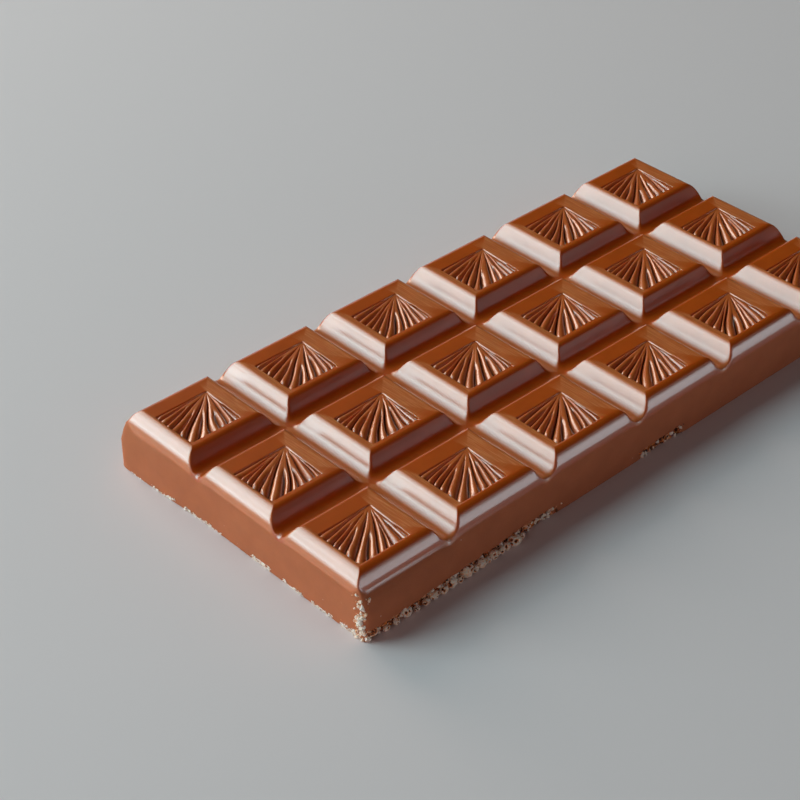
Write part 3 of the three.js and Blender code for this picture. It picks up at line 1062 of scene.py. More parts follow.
    def shaping_tree(self) -> NodeBuilder:
        """Builds the Geometry Nodes tree that raises the plan into the moulded bar.

        Returns:
            The tree. It reads the plan's values, and its inputs are in metres.
        """
        tree = NodeBuilder("moulded_bar", "GeometryNodeTree")
        tree.inlet("Geometry", "NodeSocketGeometry")
        tree.inlet("Top height", "NodeSocketFloat", self.top * MM)
        tree.inlet("Groove depth", "NodeSocketFloat", self.grid.groove_depth)
        tree.inlet("Valley depth", "NodeSocketFloat", self.fan.valley_depth)
        tree.inlet("Ridge sharpness", "NodeSocketFloat", self.ridge_power)
        tree.inlet("Ragged reach", "NodeSocketFloat", self.RAGGED_REACH * MM)
        tree.inlet("Material", "NodeSocketMaterial")
        tree.outlet("Geometry", "NodeSocketGeometry")
        given = tree.given().outputs

        drops = []
        for axis, (groove_line, rim_line) in self.sections().items():
            out = tree.attribute("out_" + axis)
            groove = tree.curve(groove_line.points, out)
            rim = tree.curve(rim_line.points, out)
            mixed = tree.blend(tree.attribute("rim_" + axis), groove, rim)
            drops.append(tree.math("POWER", mixed, given["Ridge sharpness"]))
        power = tree.math("DIVIDE", 1.0, given["Ridge sharpness"])
        joined = tree.math("POWER", tree.math("ADD", *drops), power)
        on_rim = tree.math("MAXIMUM", tree.attribute("rim_x"), tree.attribute("rim_y"))
        crossing = tree.math("SMOOTH_MIN", joined, given["Groove depth"], self.CROSSING_ROUND)
        flank_drop = tree.blend(on_rim, crossing, joined)

        section = tree.curve(self.fan.SECTION, tree.attribute("ray"))
        valley = tree.product(section, tree.attribute("grown"), given["Valley depth"])
        relief = tree.math("ADD", tree.math("ADD", valley, tree.attribute("sink")), flank_drop)
        shaped = tree.math("SUBTRACT", given["Top height"], tree.math("MULTIPLY", relief, MM))

        spot = tree.add("GeometryNodeInputPosition").outputs[0]
        parts = tree.add("ShaderNodeSeparateXYZ", {0: spot}).outputs
        height = tree.blend(tree.attribute("wall"), shaped, parts[2])
        coarse = tree.noise(spot, self.RAGGED_SCALE, self.RAGGED_DETAIL).outputs[0]
        lumps = tree.math("SUBTRACT", coarse, self.RAGGED_MIDDLE)
        reach = tree.product(lumps, tree.attribute("ragged"), given["Ragged reach"], self.RAGGED_GAIN)
        facing = {0: tree.attribute("facing_x"), 1: tree.attribute("facing_y")}
        shove = tree.vector("SCALE", tree.add("ShaderNodeCombineXYZ", facing).outputs[0], reach)
        level = tree.add("ShaderNodeCombineXYZ", {0: parts[0], 1: parts[1], 2: height}).outputs[0]
        place = tree.vector("ADD", level, shove)
        moved = tree.add("GeometryNodeSetPosition", {"Geometry": given["Geometry"], "Position": place})
        real = tree.add("GeometryNodeRealizeInstances", {0: moved.outputs[0]}).outputs[0]
        done = tree.add("GeometryNodeSetMaterial", {"Geometry": real, "Material": given["Material"]})
        tree.result("Geometry", done.outputs[0])
        return tree

    def build(self, material: bpy.types.Material) -> bpy.types.Object:
        """Builds the bar.

        Args:
            material: The chocolate.

        Returns:
            The finished piece.
        """
        plan = MeshPlan(self.VALUES)
        squares = {
            (column, row): self.add_square(plan, column, row)
            for column in range(self.grid.columns)
            for row in range(self.grid.rows)
        }
        runs = [squares[column, row][side.value] for column, row, side in self.grid.perimeter()]
        self.add_walls(plan, np.concatenate([run[:-1] for run in runs]))
        piece = plan.mesh_object("moulded_chocolate_bar")
        run_tree(piece, self.shaping_tree(), {"Material": material})
        return piece


# ---- The foot of the walls ----


# Where the foot is crumbly along X: where a stretch rises, where it falls, and how crumbly it gets.
FRONT_RUN = ((-63.0, -61.5), (-24.0, -17.0))
FRONT_SPOT = ((0.0, 3.0), (10.0, 13.0), 0.8)
BACK_RUN = ((18.0, 22.0), (42.0, 46.0), 0.5)
# Past these lie the front wall, the back wall and the left end.
FRONT_Y = -20
BACK_Y = 20
LEFT_X = -60
# The distance between points where the foot is rough, and elsewhere.
FINE_SPACING = 0.28
COARSE_SPACING = 0.62
ROUGH_FRONT = (-62.6, -15)
ROUGH_END = 28
LAST_GAP = 0.15
# The heights over which crumbs, torn edges and slight unevenness fade out.
CRUMBLY_TOP = (1.3, 2.2)
ROUGH_TOP = (1.5, 2.6)
SLIGHT_TOP = (0.2, 0.9)
SLIGHT = 0.12
# The ragged corner: its middle and reach, and where its crumbs lie, how they sway and widen downwards.
RIDGE_MIDDLE = (-62.6, -29.6)
RIDGE_REACH = 0.9
RIDGE_CRUMBS = (-63.1, -29.0)
RIDGE_SWAY = (0.35, 1.3)
RIDGE_WIDTH = (0.8, 0.3)
RIDGE_WIDENS = (2.5, 2.0)


def outward(loop: np.ndarray) -> np.ndarray:
    """Returns the outward directions of a counter-clockwise loop in plan."""
    along = np.roll(loop, -1, axis=0) - np.roll(loop, 1, axis=0)
    facing = np.stack([along[:, 1], -along[:, 0]], axis=-1)
    return facing / np.maximum(np.linalg.norm(facing, axis=1, keepdims=True), TINY)


def resample(loop: np.ndarray, spacing: Callable[[np.ndarray], float]) -> np.ndarray:
    """Places points anew along a closed loop.

    Args:
        loop: One row of x and y for each point.
        spacing: Gives the distance to the next point, at a place on the loop.

    Returns:
        The new loop, which starts at the same point.
    """
    closed = np.vstack([loop, loop[:1]])
    length = np.concatenate([[0], np.cumsum(np.linalg.norm(np.diff(closed, axis=0), axis=1))])
    at, places = 0.0, []
    while at < length[-1] - LAST_GAP:
        spot = np.array([np.interp(at, length, closed[:, k]) for k in (0, 1)])
        places.append(spot)
        at += spacing(spot)
    return np.array(places)


def foot_spacing(spot: np.ndarray) -> float:
    """Returns how far apart the points along the foot lie beside a place."""
    x, y = spot
    rough_front = y < FRONT_Y and ROUGH_FRONT[0] < x < ROUGH_FRONT[1]
    return FINE_SPACING if rough_front or (x < LEFT_X and y < ROUGH_END) else COARSE_SPACING


def stretch(
    place: np.ndarray, rising: tuple[float, float], falling: tuple[float, float], peak: float = 1.0
) -> np.ndarray:
    """Reads a stretch with soft ends.

    Args:
        place: Where it is read.
        rising: Where the stretch starts, and where it is whole.
        falling: Where it starts to fade, and where it has ended.
        peak: Its height.

    Returns:
        The height of the stretch.
    """
    return peak * smoothstep(place, *rising) * (1 - smoothstep(place, *falling))


def front_stretch(points: np.ndarray) -> np.ndarray:
    """Returns how crumbly the foot of the front wall is beside each point, from 0 to 1."""
    x, y = points[:, 0], points[:, 1]
    return np.maximum(stretch(x, *FRONT_RUN), stretch(x, *FRONT_SPOT)) * (y < FRONT_Y)


def crumbly_share(points: np.ndarray, height: float) -> np.ndarray:
    """Returns how thickly crumbs lie at points of the foot, from 0 to 1."""
    back = stretch(points[:, 0], *BACK_RUN)
    along = front_stretch(points) + back * (points[:, 1] > BACK_Y)
    return along * (1 - smoothstep(height, *CRUMBLY_TOP))


# Where pale flakes cling to the foot of the left end wall: from and to along Y, and their height.
FLAKE_RUNS = (
    (-29.4, -24.6, 1.3),
    (-22.4, -17.6, 0.75),
    (-15.4, -11.0, 0.85),
    (-8.0, -3.4, 0.95),
    (4.4, 7.0, 0.5),
    (5.6, 13.6, 0.62),
    (16.0, 21.6, 0.6),
    (23.6, 26.8, 0.35),
)
FLAKE_FADE = 0.3
# The share of its height that a run of flakes keeps everywhere, and what its waves add.
FLAKE_TOP = (0.7, 0.3)


def flaky_share(points: np.ndarray, height: float) -> np.ndarray:
    """Returns how thickly flakes lie at points of the foot of the left end wall."""
    y = points[:, 1]
    waves = np.sin(3.1 * y + 2.0 * np.sin(1.7 * y))
    share = np.zeros(len(y))
    for start, end, tall in FLAKE_RUNS:
        rising = (start - FLAKE_FADE, start + FLAKE_FADE)
        along = stretch(y, rising, (end - FLAKE_FADE, end + FLAKE_FADE))
        ragged = tall * (FLAKE_TOP[0] + FLAKE_TOP[1] * waves)
        share = np.maximum(share, along * (height < ragged))
    return share * (points[:, 0] < LEFT_X)


def ridge_share(points: np.ndarray) -> np.ndarray:
    """Returns how close points are to the crumbly corner at the front left."""
    x, y = points[:, 0] - RIDGE_MIDDLE[0], points[:, 1] - RIDGE_MIDDLE[1]
    return np.exp(-((x / RIDGE_REACH) ** 2 + (y / RIDGE_REACH) ** 2))


def corner_share(points: np.ndarray, height: float) -> np.ndarray:
    """Returns how thickly crumbs lie up the crumbly corner, from 0 to 1."""
    sway = RIDGE_SWAY[0] * math.sin(RIDGE_SWAY[1] * height)
    near = np.hypot(points[:, 0] - RIDGE_CRUMBS[0], points[:, 1] - RIDGE_CRUMBS[1] + sway)
    wider = smoothstep(RIDGE_WIDENS[0] - height, 0.0, RIDGE_WIDENS[1])
    return (near < RIDGE_WIDTH[0] + RIDGE_WIDTH[1] * wider).astype(float)


def raggedness(points: np.ndarray, height: float) -> np.ndarray:
    """Returns how uneven the wall is at points of the foot, from 0 to 1."""
    rough = np.maximum(front_stretch(points), ridge_share(points))
    small = SLIGHT * (1 - smoothstep(height, *SLIGHT_TOP))
    return np.maximum(rough * (1 - smoothstep(height, *ROUGH_TOP)), small)


# ---- Crumbs ----


# How fine the lumps on each crumb are, as a noise scale.
LUMP_SCALE = 2600.0


def crumb_tree() -> NodeBuilder:
    """Builds the Geometry Nodes tree that strews crumbs over a bed.

    Returns:
        The tree. The bed's density attribute says how thickly they lie, and lengths are in metres.
    """
    tree = NodeBuilder("crumbs", "GeometryNodeTree")
    tree.inlet("Geometry", "NodeSocketGeometry")
    tree.inlet("Density", "NodeSocketFloat", 1.0)
    tree.inlet("Smallest", "NodeSocketFloat", 0.1 * MM)
    tree.inlet("Largest", "NodeSocketFloat", 0.4 * MM)
    tree.inlet("Form", "NodeSocketVector", (1.0, 1.0, 1.0))
    tree.inlet("Tumble", "NodeSocketFloat", math.pi)
    tree.inlet("Lumps", "NodeSocketFloat", 0.1 * MM)
    tree.inlet("Darkest", "NodeSocketFloat", 0.0)
    tree.inlet("Palest", "NodeSocketFloat", 1.0)
    tree.inlet("Seed", "NodeSocketInt", 0)
    tree.inlet("Box low", "NodeSocketVector")
    tree.inlet("Box high", "NodeSocketVector")
    tree.inlet("Material", "NodeSocketMaterial")
    tree.outlet("Geometry", "NodeSocketGeometry")
    given = tree.given().outputs

    thickness = tree.math("MULTIPLY", tree.attribute("density"), given["Density"])
    points = tree.add(
        "GeometryNodeDistributePointsOnFaces",
        {"Mesh": given["Geometry"], "Density": thickness, "Seed": given["Seed"]},
    ).outputs["Points"]
    chance = tree.add("FunctionNodeRandomValue", {"Seed": given["Seed"]}, data_type="FLOAT").outputs[1]
    small = tree.math("POWER", chance, 2.0)
    spread = tree.math("SUBTRACT", given["Largest"], given["Smallest"])
    size = tree.math("MULTIPLY_ADD", small, spread, given["Smallest"])
    turn = tree.add(
        "FunctionNodeRandomValue",
        {0: (-1.0, -1.0, -1.0), 1: (1.0, 1.0, 1.0), "Seed": given["Seed"]},
        data_type="FLOAT_VECTOR",
    ).outputs[0]
    grain = tree.add("GeometryNodeMeshIcoSphere", {"Radius": 1.0, "Subdivisions": 2}).outputs[0]
    strewn = tree.add(
        "GeometryNodeInstanceOnPoints",
        {
            "Points": points,
            "Instance": grain,
            "Rotation": tree.vector("SCALE", turn, given["Tumble"]),
            "Scale": tree.vector("SCALE", given["Form"], size),
        },
    ).outputs[0]
    tone = tree.add(
        "FunctionNodeRandomValue",
        {2: given["Darkest"], 3: given["Palest"], "Seed": given["Seed"]},
        data_type="FLOAT",
    ).outputs[1]
    toned = tree.add(
        "GeometryNodeStoreNamedAttribute",
        {"Geometry": strewn, "Name": "tone", "Value": tone},
        data_type="FLOAT",
        domain="INSTANCE",
    ).outputs[0]
    real = tree.add("GeometryNodeRealizeInstances", {0: toned}).outputs[0]
    spot = tree.add("GeometryNodeInputPosition").outputs[0]
    lumps = tree.noise(spot, LUMP_SCALE, 1.0).outputs[1]
    shove = tree.vector("SCALE", tree.vector("SUBTRACT", lumps, (0.5, 0.5, 0.5)), given["Lumps"])
    inside = tree.vector("MINIMUM", tree.vector("ADD", spot, shove), given["Box high"])
    inside = tree.vector("MAXIMUM", inside, given["Box low"])
    moved = tree.add("GeometryNodeSetPosition", {"Geometry": real, "Position": inside}).outputs[0]
    done = tree.add("GeometryNodeSetMaterial", {"Geometry": moved, "Material": given["Material"]})
    tree.result("Geometry", done.outputs[0])
    return tree


@dataclass(frozen=True)
class Crumbs:
    """One kind of crumb or flake along the foot of the walls.

    Attributes:
        name: The piece's name.
        share: How thickly the crumbs lie at points of the wall, from 0 to 1.
        heights: Lowest and highest place on the wall, in millimetres.
        density: Crumbs per square millimetre where they lie thickest.
        sizes: Half the length of the smallest and of the largest.
        tones: Their darkest and palest tone, from 0 to 1.
        seed: Seed of the strewing.
        form: Their form, as shares of half the length in x, y and z.
        tumble: How far they turn, in radians.
    """

    name: str
    share: Callable[[np.ndarray, float], np.ndarray]
    heights: tuple[float, float]
    density: float
    sizes: tuple[float, float]
    tones: tuple[float, float]
    seed: int
    form: tuple[float, float, float] = (1.0, 0.85, 0.7)
    tumble: float = math.pi

    SUNK = 0.7
    ROWS = 9
    SPACING = 0.4

    def bed(self, slab: MouldedSlab) -> bpy.types.Object:
        """Makes the strip of wall that the crumbs lie on."""
        plan = MeshPlan(("density",))
        rim = slab.rim_outline()
        upper = None
        for height in np.linspace(self.heights[1], self.heights[0], self.ROWS):
            spot = resample(slab.wall_out(rim, height), lambda _: self.SPACING)
            recess = self.SUNK * slab.torn_depth * crumbly_share(spot, height)
            spot -= outward(spot) * recess[:, None]
            if upper is not None:
                spot = spot[: len(upper)]
            lower = plan.add(raised(spot, height), density=self.share(spot, height))
            if upper is not None:
                plan.strip(lower, upper[: len(lower)], closed=False)
            upper = lower
        return plan.mesh_object(self.name)

    def build(
        self, slab: MouldedSlab, tree: NodeBuilder, box: tuple[Vector, Vector], material: bpy.types.Material
    ) -> bpy.types.Object:
        """Builds the crumbs.

        Args:
            slab: The bar that they lie on.
            tree: The tree that strews them.
            box: The corners of the space they have to stay in, in metres.
            material: Their material.

        Returns:
            The finished piece.
        """
        piece = self.bed(slab)
        values = {
            "Density": self.density / MM**2,
            "Smallest": self.sizes[0] * MM,
            "Largest": self.sizes[1] * MM,
            "Form": self.form,
            "Tumble": self.tumble,
            "Lumps": self.sizes[1] * MM,
            "Darkest": self.tones[0],
            "Palest": self.tones[1],
            "Seed": self.seed,
            "Box low": tuple(box[0]),
            "Box high": tuple(box[1]),
            "Material": material,
        }
        run_tree(piece, tree, values)
        return piece


def toned_piece(
    mesh: bpy.types.Mesh, tones: Sequence[float], material: bpy.types.Material
) -> bpy.types.Object:
    """Makes a mesh a piece of its name that carries a tone at each point.

    Args:
        mesh: The mesh.
        tones: A tone for each point, from 0 to 1.
        material: The piece's material.

    Returns:
        The finished piece.
    """
    mesh.attributes.new("tone", "FLOAT", "POINT").data.foreach_set("value", tones)
    mesh.materials.append(material)
    mesh.shade_smooth()
    return linked(mesh.name, mesh)


@dataclass(frozen=True)
class CornerCurl:
    """The round curl of chocolate at the foot of the front left corner, with a rim and a pit."""

    name: str = "corner_curl"
    middle: tuple[float, float, float] = (-61.3, -29.2, 1.2)
    radius: float = 1.2
    facing: tuple[float, float, float] = (-0.25, -0.72, 0.65)
    rim_degrees: float = 62.0
    rim_width: float = 13.0
    rim_height: float = 0.1
    coil_swing: float = 9.0
    pit_degrees: float = 26.0
    pit_depth: float = 0.34
    ripple_height: float = 0.05
    ripples: float = 5.0
    twist: float = 0.12
    subdivisions: int = 4

    BODY = 0.9
    POLE = 1e-6
    # The tone's middle, and the painted light and shade that follow the relief: painted highlight on the
    # rim, painted shade in the pit, lighter and darker with the ripples.
    TONES = (0.42, 0.55, 0.45, 2.0)

    def build(self, material: bpy.types.Material) -> bpy.types.Object:
        """Builds the curl from a ball that is pressed in at its face."""
        ball = bmesh.new()
        bmesh.ops.create_icosphere(ball, subdivisions=self.subdivisions, radius=1.0)
        axis = Vector(self.facing).normalized()
        side = axis.orthogonal()
        plain, rim_highlight, pit_shade, ripple_shading = self.TONES
        tones = []
        for vertex in ball.verts:
            way = vertex.co.normalized()
            off_axis = math.degrees(way.angle(axis))
            flat = way - axis * way.dot(axis)
            turn = math.atan2(flat.dot(axis.cross(side)), flat.dot(side)) if flat.length > self.POLE else 0.0
            coil = self.rim_degrees + self.coil_swing * turn / math.pi
            rim = math.exp(-(((off_axis - coil) / self.rim_width) ** 2))
            pit = math.exp(-((off_axis / self.pit_degrees) ** 2))
            wave = self.ripple_height * math.sin(self.ripples * turn + self.twist * off_axis)
            ripple = wave * math.sin(math.radians(off_axis))
            reach = self.radius * (self.BODY + self.rim_height * rim - self.pit_depth * pit + ripple)
            vertex.co = (Vector(self.middle) + way * reach) * MM
            vertex.co.z = max(vertex.co.z, 0.0)
            # Painted light and shade: the tone rises on the rim and ripple crests and falls in the pit.
            tones.append(min(1.0, max(0.0, plain + rim_highlight * rim - pit_shade * pit + ripple_shading * ripple)))
        mesh = bpy.data.meshes.new(self.name)
        ball.to_mesh(mesh)
        ball.free()
        return toned_piece(mesh, tones, material)


@dataclass(frozen=True)
class PorousLumps:
    """Lumps of airy, broken chocolate along the foot of the front wall, each full of pits.

    Attributes:
        name: The piece's name.
        places: Where each lump lies along X, and its radius.
        stand_out: How far a lump's middle stands out from the wall, as a share of its radius.
        pits: How many pits a lump has.
        seed: Seed of their forms.
        subdivisions: How finely a lump is divided.
    """

    name: str = "foot_lumps"
    places: tuple[tuple[float, float], ...] = (
        (-58.7, 0.55), (-56.6, 0.6), (-54.2, 0.95), (-52.3, 0.6), (-50.2, 0.65), (-48.3, 0.8),
        (-46.4, 0.7), (-44.4, 0.95), (-42.9, 0.7), (-41.0, 1.25), (-39.4, 0.75), (-37.8, 0.95),
        (-36.3, 0.65), (-34.9, 1.0), (-33.2, 0.7), (-31.9, 0.75), (-30.2, 1.15), (-28.3, 0.6),
    )  # fmt: skip
    stand_out: float = 0.25
    pits: int = 7
    seed: int = 31
    subdivisions: int = 4

    SET_HIGH = 0.72
    STRETCHES = ((1.0, 1.35), (0.8, 1.0), (0.8, 1.1))
    BODY = 0.92
    TONE = 0.95
    # Limits for the direction of a pit in x, y and z, and for its width in radians.
    PIT_WAYS = ((-1, 1), (-1, 0.4), (-0.6, 1))
    PIT_WIDTHS = (0.16, 0.42)
    PIT_FALL = 1.4
    BRIM_AT = 1.35
    BRIM_WIDTH = 0.35
    # What a pit's brim adds and its hollow takes away, in reach, and in tone as painted highlight on the
    # brim and painted shade in the hollow.
    REACHES = (0.1, 0.42)
    TONES = (0.2, 0.95)
    BUMP_WAYS = ((9.0, 5.0, 3.0), (-4.0, 8.0, 6.0))
    BUMP_REACH = 0.05
    BUMP_SHADING = 0.08
    REACH_LIMITS = (0.45, 1.12)
    TONE_LIMITS = (0.05, 1.15)

    def build(
        self, slab: MouldedSlab, box: tuple[Vector, Vector], material: bpy.types.Material
    ) -> bpy.types.Object:
        """Builds the lumps.

        Args:
            slab: The bar that they lie on.
            box: The corners of the space they have to stay in, in metres.
            material: Their material.

        Returns:
            The finished piece.
        """
        shapes = RandomRun(self.seed)
        ball = bmesh.new()
        bmesh.ops.create_icosphere(ball, subdivisions=self.subdivisions, radius=1.0)
        ways = np.array([vertex.co.normalized() for vertex in ball.verts])
        sides = [[vertex.index for vertex in face.verts] for face in ball.faces]
        ball.free()
        places, faces, tones = [], [], []
        for number, (x, radius) in enumerate(self.places):
            foot = float(slab.base_half_y + slab.flared_y(np.array([x]))[0])
            out = min(foot + self.stand_out * radius, -float(box[0][1]) / MM - radius)
            middle = np.array([x, -out, self.SET_HIGH * radius])
            widths = np.array([shapes.between(*limits) for limits in self.STRETCHES])
            reach, tone = self.form(ways, shapes)
            spots = middle + ways * widths * (radius * reach)[:, None]
            faces += [[number * len(ways) + k for k in side] for side in sides]
            places.append(spots)
            tones.append(tone)
        low, high = np.array(box[0]) / MM, np.array(box[1]) / MM
        spots = np.clip(np.concatenate(places), low, high)
        mesh = bpy.data.meshes.new(self.name)
        mesh.from_pydata((spots * MM).tolist(), [], faces)
        return toned_piece(mesh, np.concatenate(tones), material)

    def form(self, ways: np.ndarray, shapes: RandomRun) -> tuple[np.ndarray, np.ndarray]:
        """Presses pits into a ball.

        Args:
            ways: One direction for each point of the ball.
            shapes: The run of numbers that places the pits.

        Returns:
            How far each point lies from the middle, where 1 is the radius, and its tone, with painted shade
            in the pits and painted highlight on their brims and bumps.
        """
        reach, tone = np.full(len(ways), self.BODY), np.full(len(ways), self.TONE)
        for _ in range(self.pits):
            axis = np.array([shapes.between(*limits) for limits in self.PIT_WAYS])
            axis /= np.linalg.norm(axis)
            off = np.arccos(np.clip(ways @ axis, -1, 1)) / shapes.between(*self.PIT_WIDTHS)
            pit = np.exp(-(off**2) * self.PIT_FALL)
            brim = np.exp(-(((off - self.BRIM_AT) / self.BRIM_WIDTH) ** 2))
            reach += self.REACHES[0] * brim - self.REACHES[1] * pit
            # Painted light and shade: the tone is darker in each pit's hollow and paler on its brim.
            tone += self.TONES[0] * brim - self.TONES[1] * pit
        one, two = (np.sin(ways @ np.array(way)) for way in self.BUMP_WAYS)
        bumps = one * two
        return (
            np.clip(reach + self.BUMP_REACH * bumps, *self.REACH_LIMITS),
            # Painted light and shade: the bumps' tone rises and falls with their height.
            np.clip(tone + self.BUMP_SHADING * bumps, *self.TONE_LIMITS),
        )


# ---- Materials ----


class ShaderBuilder(NodeBuilder):
    """Adds nodes to a new material."""

    def __init__(self, name: str) -> None:
        """Starts a new material."""
        self.material = bpy.data.materials.new(name)
        self.material.use_nodes = True
        self.material.node_tree.nodes.clear()
        self.tree = self.material.node_tree
        self.identifiers = {}

    def place(self) -> bpy.types.NodeSocket:
        """Returns the piece's own coordinates, in metres."""
        return self.add("ShaderNodeTexCoord").outputs["Object"]

    def read(self, name: str) -> bpy.types.NodeSocket:
        """Reads a named value of the mesh and returns it."""
        return self.add("ShaderNodeAttribute", attribute_name=name).outputs["Fac"]

    def group(self, builder: NodeBuilder, sockets: dict) -> bpy.types.Node:
        """Places a shader node group with its own values and returns it."""
        return self.add("ShaderNodeGroup", sockets, node_tree=builder.tree)

    def mix(self, share: object, first: object, second: object) -> bpy.types.NodeSocket:
        """Mixes two colours and returns the result."""
        return self.add("ShaderNodeMix", {0: share, 6: first, 7: second}, data_type="RGBA").outputs[2]

    def finish(self, surface: bpy.types.Node) -> bpy.types.Material:
        """Links the surface to the material's output and returns the material."""
        end = self.add("ShaderNodeOutputMaterial")
        self.tree.links.new(surface.outputs[0], end.inputs["Surface"])
        return self.material


def tone_group() -> NodeBuilder:
    """Builds the node group that lightens and darkens a colour in soft patches."""
    tree = NodeBuilder("cocoa_tone", "ShaderNodeTree")
    tree.inlet("Vector", "NodeSocketVector")
    tree.inlet("Color", "NodeSocketColor")
    tree.inlet("Patches", "NodeSocketFloat", 250.0)
    tree.inlet("Amount", "NodeSocketFloat", 0.2)
    tree.outlet("Color", "NodeSocketColor")
    given = tree.given().outputs
    noise = tree.noise(given["Vector"], given["Patches"], 5.0).outputs[0]
    swing = tree.math("MULTIPLY", tree.math("SUBTRACT", noise, 0.5), given["Amount"])
    value = tree.math("MULTIPLY_ADD", swing, 2.0, 1.0)
    shade = tree.add("ShaderNodeHueSaturation", {"Color": given["Color"], "Value": value})
    tree.result("Color", shade.outputs[0])
    return tree


def scratch_group() -> NodeBuilder:
    """Builds the node group of fine straight scratches, which run along Y where its mask is 1."""
    tree = NodeBuilder("mould_scratches", "ShaderNodeTree")
    tree.inlet("Vector", "NodeSocketVector")
    tree.inlet("Along Y", "NodeSocketFloat", 1.0)
    tree.outlet("Scratch", "NodeSocketFloat")
    given = tree.given().outputs
    runs = []
    for squeeze in ((260.0, 7000.0, 900.0), (7000.0, 260.0, 900.0)):
        squeezed = tree.vector("MULTIPLY", given["Vector"], squeeze)
        runs.append(tree.noise(squeezed, 1.0, 3.0).outputs[0])
    tree.result("Scratch", tree.blend(given["Along Y"], *runs))
    return tree


def broken_group() -> NodeBuilder:
    """Builds the node group of broken, airy chocolate: pits, and pale and dark grains."""
    tree = NodeBuilder("broken_chocolate", "ShaderNodeTree")
    tree.inlet("Vector", "NodeSocketVector")
    tree.inlet("Grain", "NodeSocketFloat", 2200.0)
    tree.outlet("Tone", "NodeSocketFloat")
    tree.outlet("Height", "NodeSocketFloat")
    given = tree.given().outputs
    cells = tree.add("ShaderNodeTexVoronoi", {"Vector": given["Vector"], "Scale": given["Grain"]})
    noise = tree.noise(given["Vector"], given["Grain"], 4.0).outputs[0]
    grey = tree.add("ShaderNodeSeparateColor", {0: cells.outputs[1]}).outputs[0]
    tree.result("Tone", tree.math("MULTIPLY_ADD", grey, 0.55, tree.math("MULTIPLY", noise, 0.45)))
    tree.result("Height", tree.math("SUBTRACT", noise, tree.math("MULTIPLY", cells.outputs[0], 0.6)))
    return tree


BROKEN_TONES = (
    (0.0, (0.012, 0.004, 0.002, 1.0)),
    (0.3, (0.09, 0.02, 0.005, 1.0)),
    (0.48, (0.42, 0.1, 0.02, 1.0)),
    (0.64, (0.88, 0.22, 0.05, 1.0)),
    (0.82, (1.0, 0.54, 0.34, 1.0)),
    (1.0, (1.0, 0.76, 0.64, 1.0)),
)


def tone_ramp(tree: ShaderBuilder, tone: bpy.types.NodeSocket) -> bpy.types.NodeSocket:
    """Turns a tone from 0 to 1 into a colour of broken chocolate, from dark to pale."""
    ramp = tree.add("ShaderNodeValToRGB", {"Fac": tone})
    stops = ramp.color_ramp.elements
    while len(stops) < len(BROKEN_TONES):
        stops.new(0.5)
    for stop, (place, colour) in zip(stops, BROKEN_TONES):
        stop.position, stop.color = place, colour
    return ramp.outputs[0]


@dataclass(frozen=True)
class EffectGroups:
    """The shader node groups that the finishes share."""

    tone: NodeBuilder
    scratches: NodeBuilder
    broken: NodeBuilder


